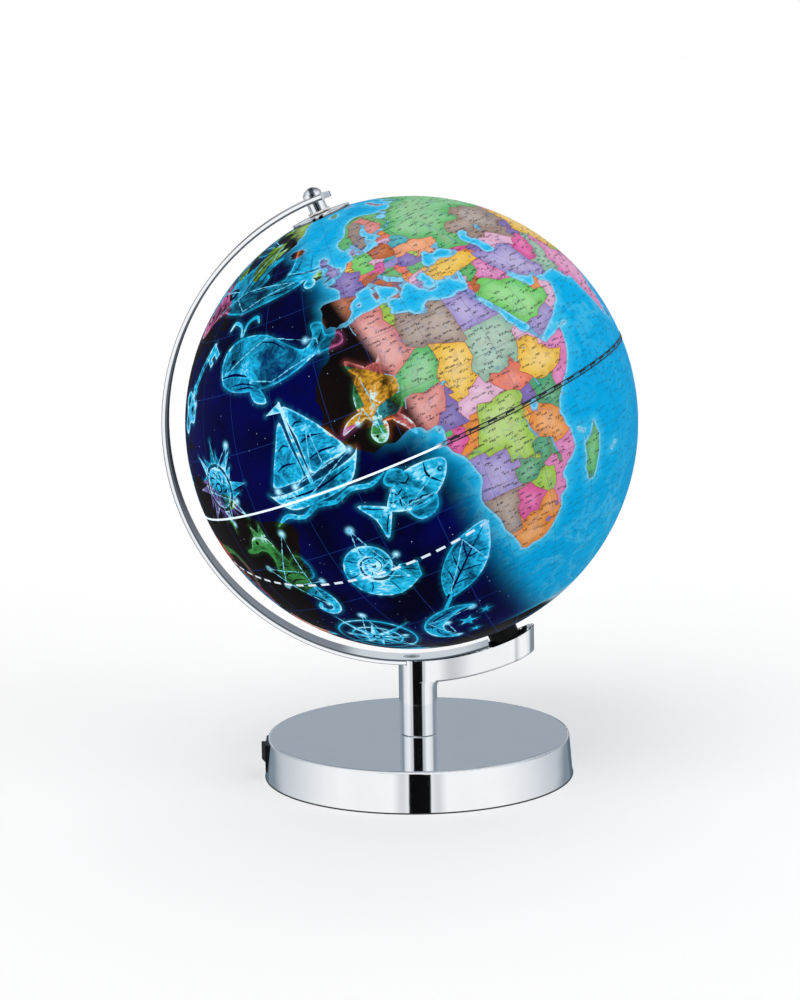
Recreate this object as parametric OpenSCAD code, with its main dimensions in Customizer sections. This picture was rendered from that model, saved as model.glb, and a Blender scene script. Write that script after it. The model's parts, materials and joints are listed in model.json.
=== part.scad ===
// Illuminated table globe on a chromed stand.
// A thin plastic globe turns on a tilted axis, between a pin at the tip of a bent metal strip and a
// hollow boss in the trough of the stand. The strip lies in the trough and one screw holds it there.
// The round base holds three cells, a weight and a rocker switch.
// Sizes are in millimetres. The origin is the middle of the base's underside and Z points up.
// The arm bends in the XZ plane, and the north end of the axis leans towards -X.

/* [Globe] */
// Outer diameter of the globe
globe_d = 203.2; // [190:0.1:216]
// Wall of the two plastic hemispheres
shell_t = 1.6; // [1.2:0.1:2.4]
// Lean of the globe's axis from upright, in degrees
tilt = 22.5; // [20:0.5:24]
// How far the globe's centre lies beside the post's axis
centre_shift = -1.1; // [-2:0.1:2]
// Height of the joint lip that centres one hemisphere in the other
lip_h = 3; // [2:0.5:5]
// Thickness of the joint lip
lip_t = 1.4; // [1:0.1:2]
// Width of the tape that covers the joint at the equator
tape_w = 3; // [2:0.5:5]
// Thickness of the tape
tape_t = 0.2; // [0.1:0.05:0.4]

/* [Arm] */
// Width of the flat strip
arm_w = 14; // [12:0.5:16]
// Thickness of the strip
arm_t = 2.5; // [2:0.1:3]
// Nominal gap between the globe and the strip
arm_gap = 5.7; // [5:0.1:8]
// Sideways offset of the strip's centre from the globe's centre
arm_shift_x = -2.2; // [-3:0.1:0]
// Upward offset of the strip's centre from the globe's centre
arm_shift_z = -0.2; // [-0.6:0.1:0.6]
// Where the strip's screw stands beside the post's axis
arm_screw_x = -2.6; // [-3.6:0.1:-1]
// Thread diameter of the strip's screw
arm_screw_d = 4; // [3:0.5:4.5]
// Length of the strip's screw
arm_screw_len = 8; // [6:0.5:9]

/* [Stand] */
// Height of the round post, from the base to the trough's underside
post_h = 25.25; // [18:0.25:60]
// Depth of the trough's side walls
trough_depth = 10; // [9.5:0.1:13]
// Thickness of the trough's side walls
trough_wall = 1.55; // [1.2:0.05:2.5]
// Thickness of the trough's floor
trough_floor = 3.5; // [3:0.1:4]
// How far the trough's rim lies below the strip's inner face
rim_drop = 0.7; // [0.3:0.1:1.2]
// How far the trough runs on past the boss
trough_end = 0.5; // [0:0.1:3]
// Radius of the fillet between the post and the trough
fillet_r = 5; // [3:0.5:7]
// Width of the lead's groove under the strip
groove_w = 5; // [4:0.5:7]
// Diameter of the lead's bore at the top of the post
lead_bore_d = 4; // [3:0.5:4.5]
// Diameter of the hollow threaded stud that holds the post
stud_d = 10; // [9:0.5:11]
// Bore of the hollow stud
stud_bore = 6.5; // [5:0.5:7]
// How far the stud reaches up into the post
stud_reach = 12; // [9:0.5:14]

/* [Polar hardware] */
// Diameter of the pin at the north pole
pin_d = 4; // [3:0.1:5]
// How far the pin reaches into the globe
pin_reach = 8; // [6:0.5:12]
// Diameter of the round cap nut over the pin
finial_d = 8.7; // [7.5:0.1:11]
// Height of the cap nut
finial_h = 4; // [3.4:0.1:7]
// Diameter of the sleeve between the strip and the globe
spacer_d = 8.2; // [7:0.1:10]
// Diameter of the thin washer under the sleeve
washer_d = 10.4; // [8:0.2:14]
// Thickness of that washer
washer_t = 0.7; // [0.5:0.1:1]
// Diameter of the domed disc at the north pole
disc_d = 27; // [20:0.5:34]
// Thickness of the domed disc
disc_t = 1.1; // [0.8:0.1:1.6]
// Outer diameter of the bushing in the north pole
bushing_d = 12; // [10:0.5:16]
// Diameter of the boss's journal that the globe turns on
journal_d = 10; // [9.5:0.1:11]
// Outer diameter of the collar in the south pole
collar_d = 15; // [14:0.5:17]
// Width of the collar's flange past its body
collar_flange = 1.5; // [1:0.1:2.5]
// Running gap along the axis between the globe and what carries it
end_play = 0.3; // [0.2:0.05:0.5]

/* [Lamp] */
// Outer diameter of the lamp's tube
tube_d = 7; // [6.6:0.1:7.6]
// Bore of the lamp's tube
tube_bore = 5; // [4.4:0.1:5.4]
// How far below the globe's centre the lamp's board lies
board_drop = 40; // [20:1:60]
// Diameter of the lamp's board
board_d = 13.5; // [12:0.5:14]
// Thickness of the board
board_t = 1.2; // [0.8:0.1:2]
// Side of one light chip
chip_w = 2.8; // [2:0.1:3]
// Height of one light chip
chip_h = 0.8; // [0.5:0.1:1.2]
// Height of the frosted cap over the board
cap_h = 16; // [12:0.5:24]
// Wall of the frosted cap
cap_t = 1.2; // [0.8:0.1:1.6]
// Diameter of the lead's sheath
lead_d = 2.2; // [1.6:0.1:2.6]

/* [Base] */
// Diameter at the base's lower edge
base_d = 140.8; // [134:0.2:160]
// How much wider the base is at its lower edge than at the top, on each side
base_flare = 1.4; // [0.6:0.1:2]
// Overall height of the base
base_h = 18.6; // [18:0.1:26]
// Wall of the chromed cover
base_wall = 1.6; // [1.2:0.1:2]
// Radius of the cover's top edge
edge_r = 1.2; // [0.8:0.1:1.5]
// Height of the cover's lower edge above the table
skirt_lift = 0.6; // [0.3:0.1:1]
// Thickness of the soft pad underneath
pad_t = 1.5; // [1.2:0.1:2]
// Margin of cover and floor plate that the pad leaves bare
pad_margin = 5; // [3:0.5:7]
// Thickness of the plastic floor plate
plate_t = 2.2; // [2:0.1:2.6]
// Distance of the floor plate's screws from the base's edge
screw_inset = 10.4; // [9.4:0.2:12]
// How far the floor plate's screws reach into the cover's posts
screw_bite = 8; // [6:0.5:10]
// Thread diameter of the floor plate's screws
base_screw_d = 2.6; // [2:0.1:3]
// Radius of the weight in the base
weight_r = 50; // [40:1:53]
// Thickness of the weight
weight_t = 8; // [4:0.5:10]
// Thickness of the stud's nut
nut_t = 4; // [3:0.5:5]
// Diameter of the stud's washer
stud_washer_d = 20; // [17:0.5:22]
// Thickness of the stud's washer
stud_washer_t = 1.5; // [1:0.1:2]

/* [Battery box] */
// Diameter of a cell
cell_d = 10.5; // [10:0.1:10.9]
// Length of a cell with its nub
cell_l = 44.5; // [43:0.1:46]
// Number of cells
cell_n = 3; // [2:1:3]
// Distance of the box from the base's axis to its middle
box_y = 32; // [31:0.5:34]
// Wall of the box
box_wall = 1.5; // [1.2:0.1:2]
// Length of the contact springs
spring_l = 1.8; // [1.4:0.1:3]
// Thickness of the door
door_t = 1.2; // [1:0.1:1.4]
// How far the door overlaps the opening on each side
door_lap = 1.5; // [1:0.1:2.5]
// Diameter of the door's screw tab
tab_d = 8; // [7:0.5:9]

/* [Switch] */
// Length of the switch's bezel, along the skirt
bezel_w = 19; // [18:0.2:22]
// Height of the bezel
bezel_h = 12.6; // [12:0.2:13]
// Thickness of the bezel
bezel_t = 1.6; // [1.2:0.1:2]
// Width of the bezel's rim around the rocker
bezel_rim = 1.6; // [1.4:0.1:1.9]
// Depth of the switch's housing behind the bezel
housing_depth = 11; // [9:0.5:14]
// Angle between the rocker's two positions
rocker_throw = 18; // [14:1:20]
// Height of the rocker's ends over its pivot
rocker_rise = 1.9; // [1.6:0.1:2.2]

/* [Clearances] */
// Radial gap of a shaft that turns in its bore
running_gap = 0.05; // [0.03:0.01:0.1]
// Clearance between two fixed pieces that fit together
fit_gap = 0.1; // [0.05:0.01:0.2]
// Clearance at each side of the strip in the trough
side_gap = 0.15; // [0.1:0.05:0.3]
// Clearance around loose inner pieces and cells
loose_gap = 0.3; // [0.2:0.05:0.4]

/* [Hidden] */
$fn = 96;

// A small length that lets a cut run past a face
past = 1;

// Globe and arm, by their distance from the globe's centre
globe_r = globe_d / 2;
inner_r = globe_r - shell_t;
arm_in_r = globe_r + arm_gap;
arm_out_r = arm_in_r + arm_t;
rim_r = arm_in_r + rim_drop;
under_r = rim_r + trough_depth;
floor_r = under_r - trough_floor;
centre_z = base_h + post_h + under_r;
arm_centre = [centre_shift + arm_shift_x, centre_z + arm_shift_z];
north = [-sin(tilt), cos(tilt)];
south = -north;
shift = [arm_shift_x, arm_shift_z];

// Distance from the globe's centre, along a direction, to a circle around the arm's centre
function axis_to_arm(dir, r) = dir * shift + sqrt(pow(dir * shift, 2) - shift * shift + r * r);
// Angle, around the arm's centre, of a point on the polar axis
function arm_angle(dir, r) =
    let (p = axis_to_arm(dir, r) * dir - shift)
    atan2(p[1], p[0]);

pin_in = axis_to_arm(north, arm_in_r);
pin_out = axis_to_arm(north, arm_out_r);
arm_from = arm_angle(north, arm_in_r + arm_t / 2);

// Trough and boss
channel_w = arm_w + 2 * side_gap;
post_r = channel_w / 2 + trough_wall;
boss_gap = 0.25;
boss_r = channel_w / 2 - boss_gap;
arm_end_gap = 1;
arm_to = 360 + arm_angle(south, arm_in_r) - asin((boss_r + arm_end_gap) / arm_in_r);
trough_end_x = centre_shift + under_r * sin(tilt) + trough_end;
pocket_angle = tilt - asin((boss_r + loose_gap) / floor_r);
collar_rim_t = 1;
collar_in = 7.5;
shoulder_r = sqrt(pow(globe_r, 2) - pow(collar_d / 2, 2)) + fit_gap + collar_rim_t + end_play;
journal_in = collar_in + 1.5;
tube_seat = 6;
boss_screw_d = 2.2;
boss_screw_off = (boss_r + tube_bore / 2) / 2;
boss_screw_head_d = 4;
boss_screw_head_h = 1.5;
boss_screw_len = trough_floor + 5;
screw_angle = asin((arm_screw_x - arm_centre[0]) / arm_out_r);
arm_screw_head = arm_screw_d * 1.85;

// The lead's way from the post up to the groove
lead_turn_x = post_r + 5.3;
groove_mid_r = (arm_out_r + floor_r) / 2;
lead_turn_z = centre_z - sqrt(pow(groove_mid_r, 2) - pow(lead_turn_x - centre_shift, 2));
lead_slope = 37;
lead_bend_z = lead_turn_z - lead_turn_x * tan(lead_slope);

// Base levels
base_r = base_d / 2;
base_top_r = base_r - base_flare;
base_screw_pcr = base_r - screw_inset;
cover_in_z = base_h - base_wall;
plate_z = pad_t;
plate_top = plate_z + plate_t;
plate_r = skirt_r(plate_top) - base_wall - loose_gap;
pad_r = base_r - pad_margin;
screw_turns = [45, 135, 225, 315];
screw_post_d = base_screw_d + 3.6;
screw_head_d = base_screw_d * 2;
stud_bottom = cover_in_z - stud_washer_t - nut_t - 2;
stud_top = base_h + stud_reach;
stud_nut_d = stud_d * 1.6;

// Battery box
contact_t = 0.4;
bay_l = cell_l + spring_l + 2 * contact_t + loose_gap;
bay_w = cell_n * cell_d + (cell_n + 1) * loose_gap;
door_top = plate_z + door_t;
cell_z = door_top + loose_gap + cell_d / 2;
box_roof_z = cell_z + cell_d / 2 + loose_gap;
box_roof_t = 1.2;
box_l = bay_l + 2 * box_wall;
box_w = bay_w + 2 * box_wall;
door_l = bay_l + 2 * door_lap;
door_w = bay_w + 2 * door_lap;
door_screw_d = 2.5;
tab_x = door_l / 2 + tab_d / 4;
nub_d = 3.8;
nub_l = 1;

// Switch
switch_z = (skirt_lift + base_h) / 2;
function skirt_r(z) = base_r - base_flare * (z - skirt_lift) / (base_h - skirt_lift);
seat_x = sqrt(pow(skirt_r(switch_z + bezel_h / 2), 2) - pow(bezel_w / 2, 2)) - fit_gap;
seat_t = 2.4;
housing_w = bezel_w - 1;
housing_h = bezel_h - 1.4;
window_w = bezel_w - 2 * bezel_rim;
window_h = bezel_h - 2 * bezel_rim - 0.8;
rocker_w = window_w - 1;
rocker_h = window_h - 2 * fit_gap;
pivot_depth = 0.6;
pivot_x = seat_x + bezel_t - pivot_depth;
pivot_d = 2;
pivot_l = 0.6;
well_depth = 5;
blade = [6, 0.8, 4.8];
blade_y = [0, 6];

// The switch's lead and the cells' leads, as round numbers along their ways
housing_back = seat_x - housing_depth;
blade_end = housing_back - blade[0];

chrome = [0.78, 0.79, 0.80];
steel = [0.62, 0.63, 0.65];
black = [0.08, 0.08, 0.09];
copper = [0.80, 0.62, 0.30];

module at_centre() {
    translate([centre_shift, 0, centre_z]) children();
}

// The polar axis as Z, with the globe's centre as origin
module on_axis() {
    at_centre() rotate([0, -tilt, 0]) children();
}

// The polar axis again, with Z pointing out of the south pole
module on_south() {
    on_axis() rotate([180, 0, 0]) children();
}

// Puts a flat shape drawn in X and Z across the arm's plane, w wide
module across(w) {
    rotate([90, 0, 0]) linear_extrude(w, center = true) children();
}

module ring(r_out, r_in, h) {
    difference() {
        cylinder(r = r_out, h = h);
        translate([0, 0, -past]) cylinder(r = r_in, h = h + 2 * past);
    }
}

// A tube of eight sides along a way that lies in one plane with the given normal
module lead_along(way, normal, d) {
    sides = 8;
    last = len(way) - 1;
    function along(i) =
        let (step = way[min(i + 1, last)] - way[max(i - 1, 0)])
        step / norm(step);
    points = [
        for (i = [0:last])
        let (side = cross(along(i), normal))
        for (k = [0:sides - 1])
        way[i] + d / 2 * (cos(360 * k / sides) * normal + sin(360 * k / sides) * side)
    ];
    walls = [
        for (i = [0:last - 1])
        for (k = [0:sides - 1])
        let (a = i * sides + k, b = i * sides + (k + 1) % sides)
        each [[a, b, b + sides], [a, b + sides, a + sides]]
    ];
    start_cap = [for (k = [1:sides - 2]) [0, k + 1, k]];
    top = last * sides;
    end_cap = [for (k = [1:sides - 2]) [top, top + k, top + k + 1]];
    polyhedron(points, concat(walls, start_cap, end_cap));
}

// One half of the globe's shell, open at the pole
module half_shell(hole_d) {
    difference() {
        sphere(r = globe_r, $fn = 128);
        sphere(r = inner_r, $fn = 128);
        translate([0, 0, -globe_r]) cube([2 * globe_d, 2 * globe_d, globe_d], center = true);
        cylinder(d = hole_d, h = globe_r + past);
    }
}

module north_hemisphere() {
    color([0.25, 0.66, 0.87])
    on_axis() {
        difference() {
            union() {
                half_shell(bushing_d);
                ring(inner_r + shell_t / 5, inner_r - lip_t, lip_h);
            }
            translate([0, 0, -past]) cylinder(r = inner_r - lip_t, h = past);
        }
        translate([0, 0, -lip_h]) ring(inner_r - fit_gap - 0.05, inner_r - lip_t, lip_h);
    }
}

module south_hemisphere() {
    color([0.03, 0.06, 0.28])
    on_south() half_shell(collar_d);
}

module equator_tape() {
    color([0.9, 0.9, 0.9])
    on_axis() translate([0, 0, -tape_w / 2]) ring(globe_r + tape_t + 0.05, globe_r + 0.05, tape_w);
}

// Plug in the north pole with a flange against the shell's inner face
module north_bushing() {
    flange_r = bushing_d / 2 + 2.5;
    flange_top = sqrt(pow(inner_r, 2) - pow(flange_r, 2)) - fit_gap;
    body_top = sqrt(pow(globe_r, 2) - pow(bushing_d / 2, 2));
    color([0.9, 0.9, 0.88])
    on_axis() difference() {
        union() {
            translate([0, 0, globe_r - pin_reach])
                cylinder(r = bushing_d / 2 - fit_gap, h = body_top - globe_r + pin_reach);
            translate([0, 0, flange_top - 1.4]) cylinder(r = flange_r, h = 1.4);
        }
        translate([0, 0, globe_r - pin_reach - past])
            cylinder(r = pin_d / 2 + running_gap, h = pin_reach + 2 * past);
    }
}

// Ring in the south pole that turns on the boss's journal
module south_collar() {
    body_r = collar_d / 2 - fit_gap;
    flange_z = shoulder_r - end_play - collar_rim_t;
    color(black)
    on_south() difference() {
        union() {
            translate([0, 0, globe_r - collar_in])
                cylinder(r = body_r, h = flange_z - globe_r + collar_in + 0.2);
            translate([0, 0, flange_z]) cylinder(r = collar_d / 2 + collar_flange, h = collar_rim_t);
        }
        translate([0, 0, globe_r - collar_in - past])
            cylinder(r = journal_d / 2 + running_gap, h = collar_in + 4);
        // The flange's underside follows the globe
        sphere(r = globe_r + fit_gap / 2, $fn = 128);
    }
    color(black)
    on_south() translate([0, 0, globe_r - collar_in])
        ring(body_r, journal_d / 2 + running_gap, flange_z - globe_r + collar_in + collar_rim_t / 2);
}

module pole_disc() {
    color(chrome)
    on_axis() difference() {
        intersection() {
            sphere(r = globe_r + disc_t + 0.05, $fn = 128);
            cylinder(d = disc_d, h = globe_d);
        }
        sphere(r = globe_r + 0.05, $fn = 128);
        cylinder(r = pin_d / 2 + 3 * running_gap, h = globe_d);
    }
}

disc_top = globe_r + disc_t + 0.05;
washer_z = disc_top + end_play;

module pole_washer() {
    color([0.9, 0.9, 0.9])
    on_axis() translate([0, 0, washer_z]) ring(washer_d / 2, pin_d / 2 + running_gap, washer_t);
}

module pole_spacer() {
    seat = washer_z + washer_t;
    color(chrome)
    on_axis() translate([0, 0, seat]) ring(spacer_d / 2, pin_d / 2 + running_gap, pin_in - 0.2 - seat);
}

module north_pin() {
    color(steel)
    on_axis() translate([0, 0, globe_r - pin_reach + 1])
        cylinder(d = pin_d, h = pin_out + 2 - globe_r + pin_reach - 1);
}

// Round cap nut with a shallow dome
module pole_finial() {
    rim_h = finial_h * 0.35;
    dome_h = finial_h - rim_h;
    dome_r = (pow(finial_d / 2, 2) + dome_h * dome_h) / (2 * dome_h);
    hole_r = pin_d / 2 + running_gap;
    color(chrome)
    on_axis() translate([0, 0, pin_out + 0.1]) rotate_extrude() difference() {
        intersection() {
            translate([0, finial_h - dome_r]) circle(r = dome_r);
            square([finial_d / 2, finial_h + past]);
        }
        square([hole_r, 2.4]);
    }
}

// The strip's cross-section, with full round edges
module strip_section() {
    r = arm_t / 2;
    translate([arm_in_r, -arm_w / 2 + r]) square([arm_t, arm_w - arm_t]);
    for (side = [-1, 1])
        translate([arm_in_r + r, side * (arm_w / 2 - r)]) circle(r = r);
}

module strip_arc(from, to) {
    translate([arm_centre[0], 0, arm_centre[1]])
        rotate([90, 0, 0])
        rotate([0, 0, from])
        rotate_extrude(angle = to - from, $fn = 180) strip_section();
}

module at_arm_screw() {
    translate([arm_centre[0], 0, arm_centre[1]])
        rotate([0, -screw_angle, 0])
        rotate([180, 0, 0])
        children();
}

// Cone and shank of a countersunk screw that points along Z from its head's face
module countersunk(d, head, length, gap) {
    cone_h = (head - d) / 2;
    cylinder(r1 = head / 2 + gap, r2 = d / 2 + gap, h = cone_h);
    cylinder(r = d / 2 + gap, h = length);
}

module meridian_arm() {
    tip_r = arm_w / 2 + 0.6;
    tip_turn = 8;
    reach = arm_gap + 4 * arm_t;
    color(chrome)
    difference() {
        strip_arc(arm_from - tip_turn, arm_to);
        // Round end, a little wider than the strip and centred on the pin
        on_axis() translate([0, 0, globe_r]) difference() {
            translate([0, -2 * tip_r, 0]) cube([4 * tip_r, 4 * tip_r, reach]);
            translate([0, 0, -past]) cylinder(r = tip_r, h = reach + 2 * past);
        }
        on_axis() translate([0, 0, globe_r]) cylinder(r = pin_d / 2 + running_gap, h = reach);
        at_arm_screw() translate([0, 0, arm_in_r]) {
            countersunk(arm_screw_d, arm_screw_head, 3 * arm_t, fit_gap);
            translate([0, 0, -past]) cylinder(r = arm_screw_head / 2 + fit_gap, h = past + 0.01);
        }
    }
}

module arm_screw() {
    slot = arm_screw_head * 0.55;
    color(steel)
    at_arm_screw() translate([0, 0, arm_in_r + 0.05]) difference() {
        countersunk(arm_screw_d, arm_screw_head, arm_screw_len, 0);
        for (turn = [0, 90])
            rotate([0, 0, turn]) cube([slot, 1, 1.8], center = true);
    }
}

// Outline of the trough seen from above, with its round end
module trough_plan(r, from_x) {
    translate([from_x, -r]) square([trough_end_x - from_x, 2 * r]);
    translate([trough_end_x, 0]) circle(r = r);
}

// A flat disc in the arm's plane around the globe's centre
module centre_disc(r, w) {
    translate([centre_shift, 0, centre_z]) across(w) circle(r = r, $fn = 180);
}

module stand_bracket() {
    plan_h = under_r * (1 - cos(tilt + 20)) + 20;
    low_z = centre_z - under_r - 2;
    fillet_z = centre_z - sqrt(pow(under_r, 2) - pow(post_r + fillet_r - centre_shift, 2)) - fillet_r;
    chamfer = 0.4;
    color(chrome)
    difference() {
        union() {
            // Trough
            intersection() {
                difference() {
                    centre_disc(under_r, 4 * post_r);
                    centre_disc(rim_r, 5 * post_r);
                }
                translate([0, 0, low_z]) linear_extrude(plan_h) trough_plan(post_r, 0);
            }
            // Post
            translate([0, 0, base_h + chamfer]) cylinder(r = post_r, h = centre_z - rim_r - base_h);
            translate([0, 0, base_h]) cylinder(r1 = post_r - chamfer, r2 = post_r, h = chamfer);
            // Fillet on the trough's side of the post
            intersection() {
                rotate_extrude() difference() {
                    translate([0, fillet_z]) square([post_r + fillet_r, fillet_r + 0.5]);
                    translate([post_r + fillet_r, fillet_z]) circle(r = fillet_r);
                }
                translate([0, -post_r, fillet_z - past])
                    cube([2 * post_r + fillet_r, 2 * post_r, 2 * fillet_r]);
            }
        }
        centre_disc(rim_r, 5 * post_r);
        // Channel that the strip lies in
        intersection() {
            translate([arm_centre[0], 0, arm_centre[1]]) across(4 * post_r)
                circle(r = arm_out_r + fit_gap, $fn = 180);
            translate([0, 0, low_z]) linear_extrude(plan_h) trough_plan(channel_w / 2, -2 * post_r);
        }
        // Deeper pocket that the boss stands in
        intersection() {
            centre_disc(floor_r, 4 * post_r);
            translate([0, 0, low_z]) linear_extrude(plan_h) trough_plan(channel_w / 2, 0);
            at_centre() rotate([0, -pocket_angle, 0]) translate([0, -2 * post_r, -2 * under_r])
                cube([under_r, 4 * post_r, 2 * under_r]);
        }
        // Groove for the lead under the strip
        intersection() {
            centre_disc(floor_r, groove_w);
            translate([lead_turn_x - groove_w / 2, -groove_w, low_z])
                cube([trough_end_x - lead_turn_x, 2 * groove_w, plan_h]);
        }
        // Bores for the stud and the lead
        translate([0, 0, base_h - past]) cylinder(r = stud_d / 2 + fit_gap, h = stud_reach + past + 1);
        translate([0, 0, base_h]) cylinder(d = lead_bore_d, h = lead_bend_z + 1 - base_h);
        translate([0, 0, lead_bend_z]) rotate([0, 90 - lead_slope, 0]) translate([0, 0, -lead_bore_d / 4])
            cylinder(d = lead_bore_d - 0.2, h = lead_turn_x / cos(lead_slope) + lead_bore_d / 4);
        at_arm_screw() cylinder(r = arm_screw_d / 2 + fit_gap, h = arm_in_r + arm_screw_len + 0.6);
        on_south() for (side = [-1, 1]) translate([0, side * boss_screw_off, 0]) {
            cylinder(r = boss_screw_d / 2 + fit_gap, h = under_r + 2 * past);
            translate([0, 0, under_r - boss_screw_head_h - 0.1])
                cylinder(r = boss_screw_head_d / 2 + fit_gap, h = 4);
        }
    }
}

// Black holder that carries the globe's lower end and the lamp's tube
module lower_boss() {
    body_from = shoulder_r;
    body_to = sqrt(pow(floor_r, 2) - pow(boss_r, 2)) - fit_gap;
    color(black)
    on_south() difference() {
        union() {
            translate([0, 0, body_from]) cylinder(r = boss_r, h = body_to - body_from);
            translate([0, 0, globe_r - journal_in])
                cylinder(d = journal_d, h = body_from - globe_r + journal_in + past);
        }
        translate([0, 0, globe_r - journal_in - past]) cylinder(d = tube_bore, h = body_to);
        translate([0, 0, globe_r - journal_in - past])
            cylinder(r = tube_d / 2 + running_gap, h = tube_seat + past);
        // Notch that lets the lead in from the groove
        translate([-2 * boss_r, -lead_bore_d / 2, arm_in_r])
            cube([2 * boss_r, lead_bore_d, floor_r - arm_in_r]);
        for (side = [-1, 1])
            translate([0, side * boss_screw_off, floor_r - 6])
                cylinder(r = boss_screw_d / 2 + fit_gap, h = 7);
    }
}

module boss_screws() {
    head_z = under_r - boss_screw_head_h;
    color(steel)
    on_south() for (side = [-1, 1]) translate([0, side * boss_screw_off, 0]) difference() {
        union() {
            translate([0, 0, head_z]) cylinder(d = boss_screw_head_d, h = boss_screw_head_h);
            translate([0, 0, under_r - boss_screw_len]) cylinder(d = boss_screw_d, h = boss_screw_len - past);
        }
        translate([0, 0, under_r]) cube([2.4, 0.6, 1.4], center = true);
    }
}

module lamp_tube() {
    seat = globe_r - journal_in + tube_seat - 0.1;
    color([0.9, 0.9, 0.88])
    on_south() translate([0, 0, board_drop]) ring(tube_d / 2, tube_bore / 2, seat - board_drop);
}

module led_board() {
    color([0.95, 0.95, 0.92])
    on_south() translate([0, 0, board_drop - board_t]) cylinder(d = board_d, h = board_t);
}

module led_chips() {
    chip_pcr = board_d / 2 - cap_t - chip_w / 2 - 1;
    color([0.98, 0.9, 0.5])
    on_south() translate([0, 0, board_drop - board_t - chip_h / 2]) {
        for (turn = [0:90:270])
            rotate([0, 0, turn]) translate([chip_pcr, 0, 0])
                cube([chip_w - 1, chip_w, chip_h], center = true);
    }
}

module lamp_cap() {
    round_r = board_d / 2;
    straight = cap_h - round_r;
    color([1, 1, 1, 0.6])
    on_south() translate([0, 0, board_drop - board_t]) rotate([180, 0, 0]) rotate_extrude() difference() {
        union() {
            square([round_r, straight]);
            intersection() {
                translate([0, straight]) circle(r = round_r);
                translate([0, straight]) square(round_r + past);
            }
        }
        translate([-past, -past]) square([round_r - cap_t + past, straight + past]);
        translate([0, straight]) circle(r = round_r - cap_t);
    }
}

// From the switch under the stud, up the post, along the groove and up the axis to the board
module lamp_lead() {
    low = stud_bottom - 1.5;
    groove = [
        for (a = [asin((lead_turn_x - centre_shift) / groove_mid_r) + 1:3:tilt - 3])
        [centre_shift + groove_mid_r * sin(a), 0, centre_z - groove_mid_r * cos(a)]
    ];
    function on_pole(r) = [centre_shift + r * sin(tilt), 0, centre_z - r * cos(tilt)];
    way = concat(
        [[-blade_end, 0, switch_z], [-blade_end + 6, 0, switch_z], [-blade_end + 12, 0, low]],
        [[-5, 0, low], [-1.2, 0, low + 0.8], [0, 0, low + 3.5], [0, 0, lead_bend_z - 1]],
        [[1.2, 0, lead_bend_z + 1], [lead_turn_x - 1, 0, lead_turn_z - 0.9]],
        groove,
        [on_pole(groove_mid_r - 2.2), on_pole(groove_mid_r - 6), on_pole(board_drop + fit_gap)]
    );
    color([0.85, 0.85, 0.85])
    lead_along(way, [0, 1, 0], lead_d);
}

// Chromed cover of the base, an open-bottomed dish with a slightly flared skirt
module base_cover() {
    corner = [base_top_r - edge_r, base_h - edge_r];
    color(chrome)
    difference() {
        union() {
            difference() {
                cover_outside();
                rotate_extrude() polygon([
                    [0, skirt_lift - past],
                    [base_r - base_wall, skirt_lift - past],
                    [base_r - base_wall, skirt_lift],
                    [base_top_r - base_wall, cover_in_z],
                    [0, cover_in_z]
                ]);
            }
            for (turn = screw_turns)
                rotate([0, 0, turn]) translate([base_screw_pcr, 0, plate_top])
                    cylinder(d = screw_post_d, h = cover_in_z - plate_top + base_wall / 2);
            // Thick seat for the switch inside the skirt
            intersection() {
                cover_outside();
                translate([-seat_x - bezel_t - 1, -bezel_w / 2 - 2, plate_top])
                    cube([bezel_t + 1 + seat_t, bezel_w + 4, cover_in_z - plate_top + base_wall / 2]);
            }
        }
        // Flat and cut-out for the switch
        translate([-seat_x - 10, -bezel_w / 2 - fit_gap, switch_z - bezel_h / 2 - fit_gap])
            cube([10, bezel_w + 2 * fit_gap, bezel_h + 2 * fit_gap]);
        translate([-seat_x - past, -housing_w / 2 - fit_gap, switch_z - housing_h / 2 - fit_gap])
            cube([3 * seat_t + past, housing_w + 2 * fit_gap, housing_h + 2 * fit_gap]);
        translate([0, 0, cover_in_z - past]) cylinder(r = stud_d / 2 + fit_gap, h = base_wall + 2 * past);
        for (turn = screw_turns)
            rotate([0, 0, turn]) translate([base_screw_pcr, 0, plate_top - past])
                cylinder(r = base_screw_d / 2 + fit_gap, h = cover_in_z - plate_top - 1 + past);
    }
    module cover_outside() {
        rotate_extrude($fn = 180) {
            polygon([
                [0, skirt_lift],
                [base_r, skirt_lift],
                [base_top_r, base_h - edge_r],
                [0, base_h - edge_r]
            ]);
            square([corner[0], base_h]);
            translate(corner) circle(r = edge_r);
        }
    }
}

module stud() {
    color(steel)
    translate([0, 0, stud_bottom]) ring(stud_d / 2, stud_bore / 2, stud_top - stud_bottom);
}

module stud_washer() {
    color(steel)
    translate([0, 0, cover_in_z - stud_washer_t])
        ring(stud_washer_d / 2, stud_d / 2 + fit_gap, stud_washer_t);
}

module stud_nut() {
    color(steel)
    translate([0, 0, cover_in_z - stud_washer_t - nut_t]) difference() {
        cylinder(d = stud_nut_d, h = nut_t, $fn = 6);
        translate([0, 0, -past]) cylinder(r = stud_d / 2 + fit_gap, h = nut_t + 2 * past);
    }
}

// Iron weight across the front of the base, opposite the cells
module base_weight() {
    front = -6;
    hub_r = stud_washer_d / 2 + 2;
    color([0.35, 0.35, 0.37])
    translate([0, 0, plate_top]) difference() {
        cylinder(r = weight_r, h = weight_t);
        translate([-2 * weight_r, front, -past]) cube([4 * weight_r, 2 * weight_r, weight_t + 2 * past]);
        translate([0, 0, -past]) cylinder(r = hub_r, h = weight_t + 2 * past);
    }
}

module door_outline(grow) {
    translate([0, box_y]) square([door_l + 2 * grow, door_w + 2 * grow], center = true);
    translate([tab_x, box_y]) circle(d = tab_d + 2 * grow);
}

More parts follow.
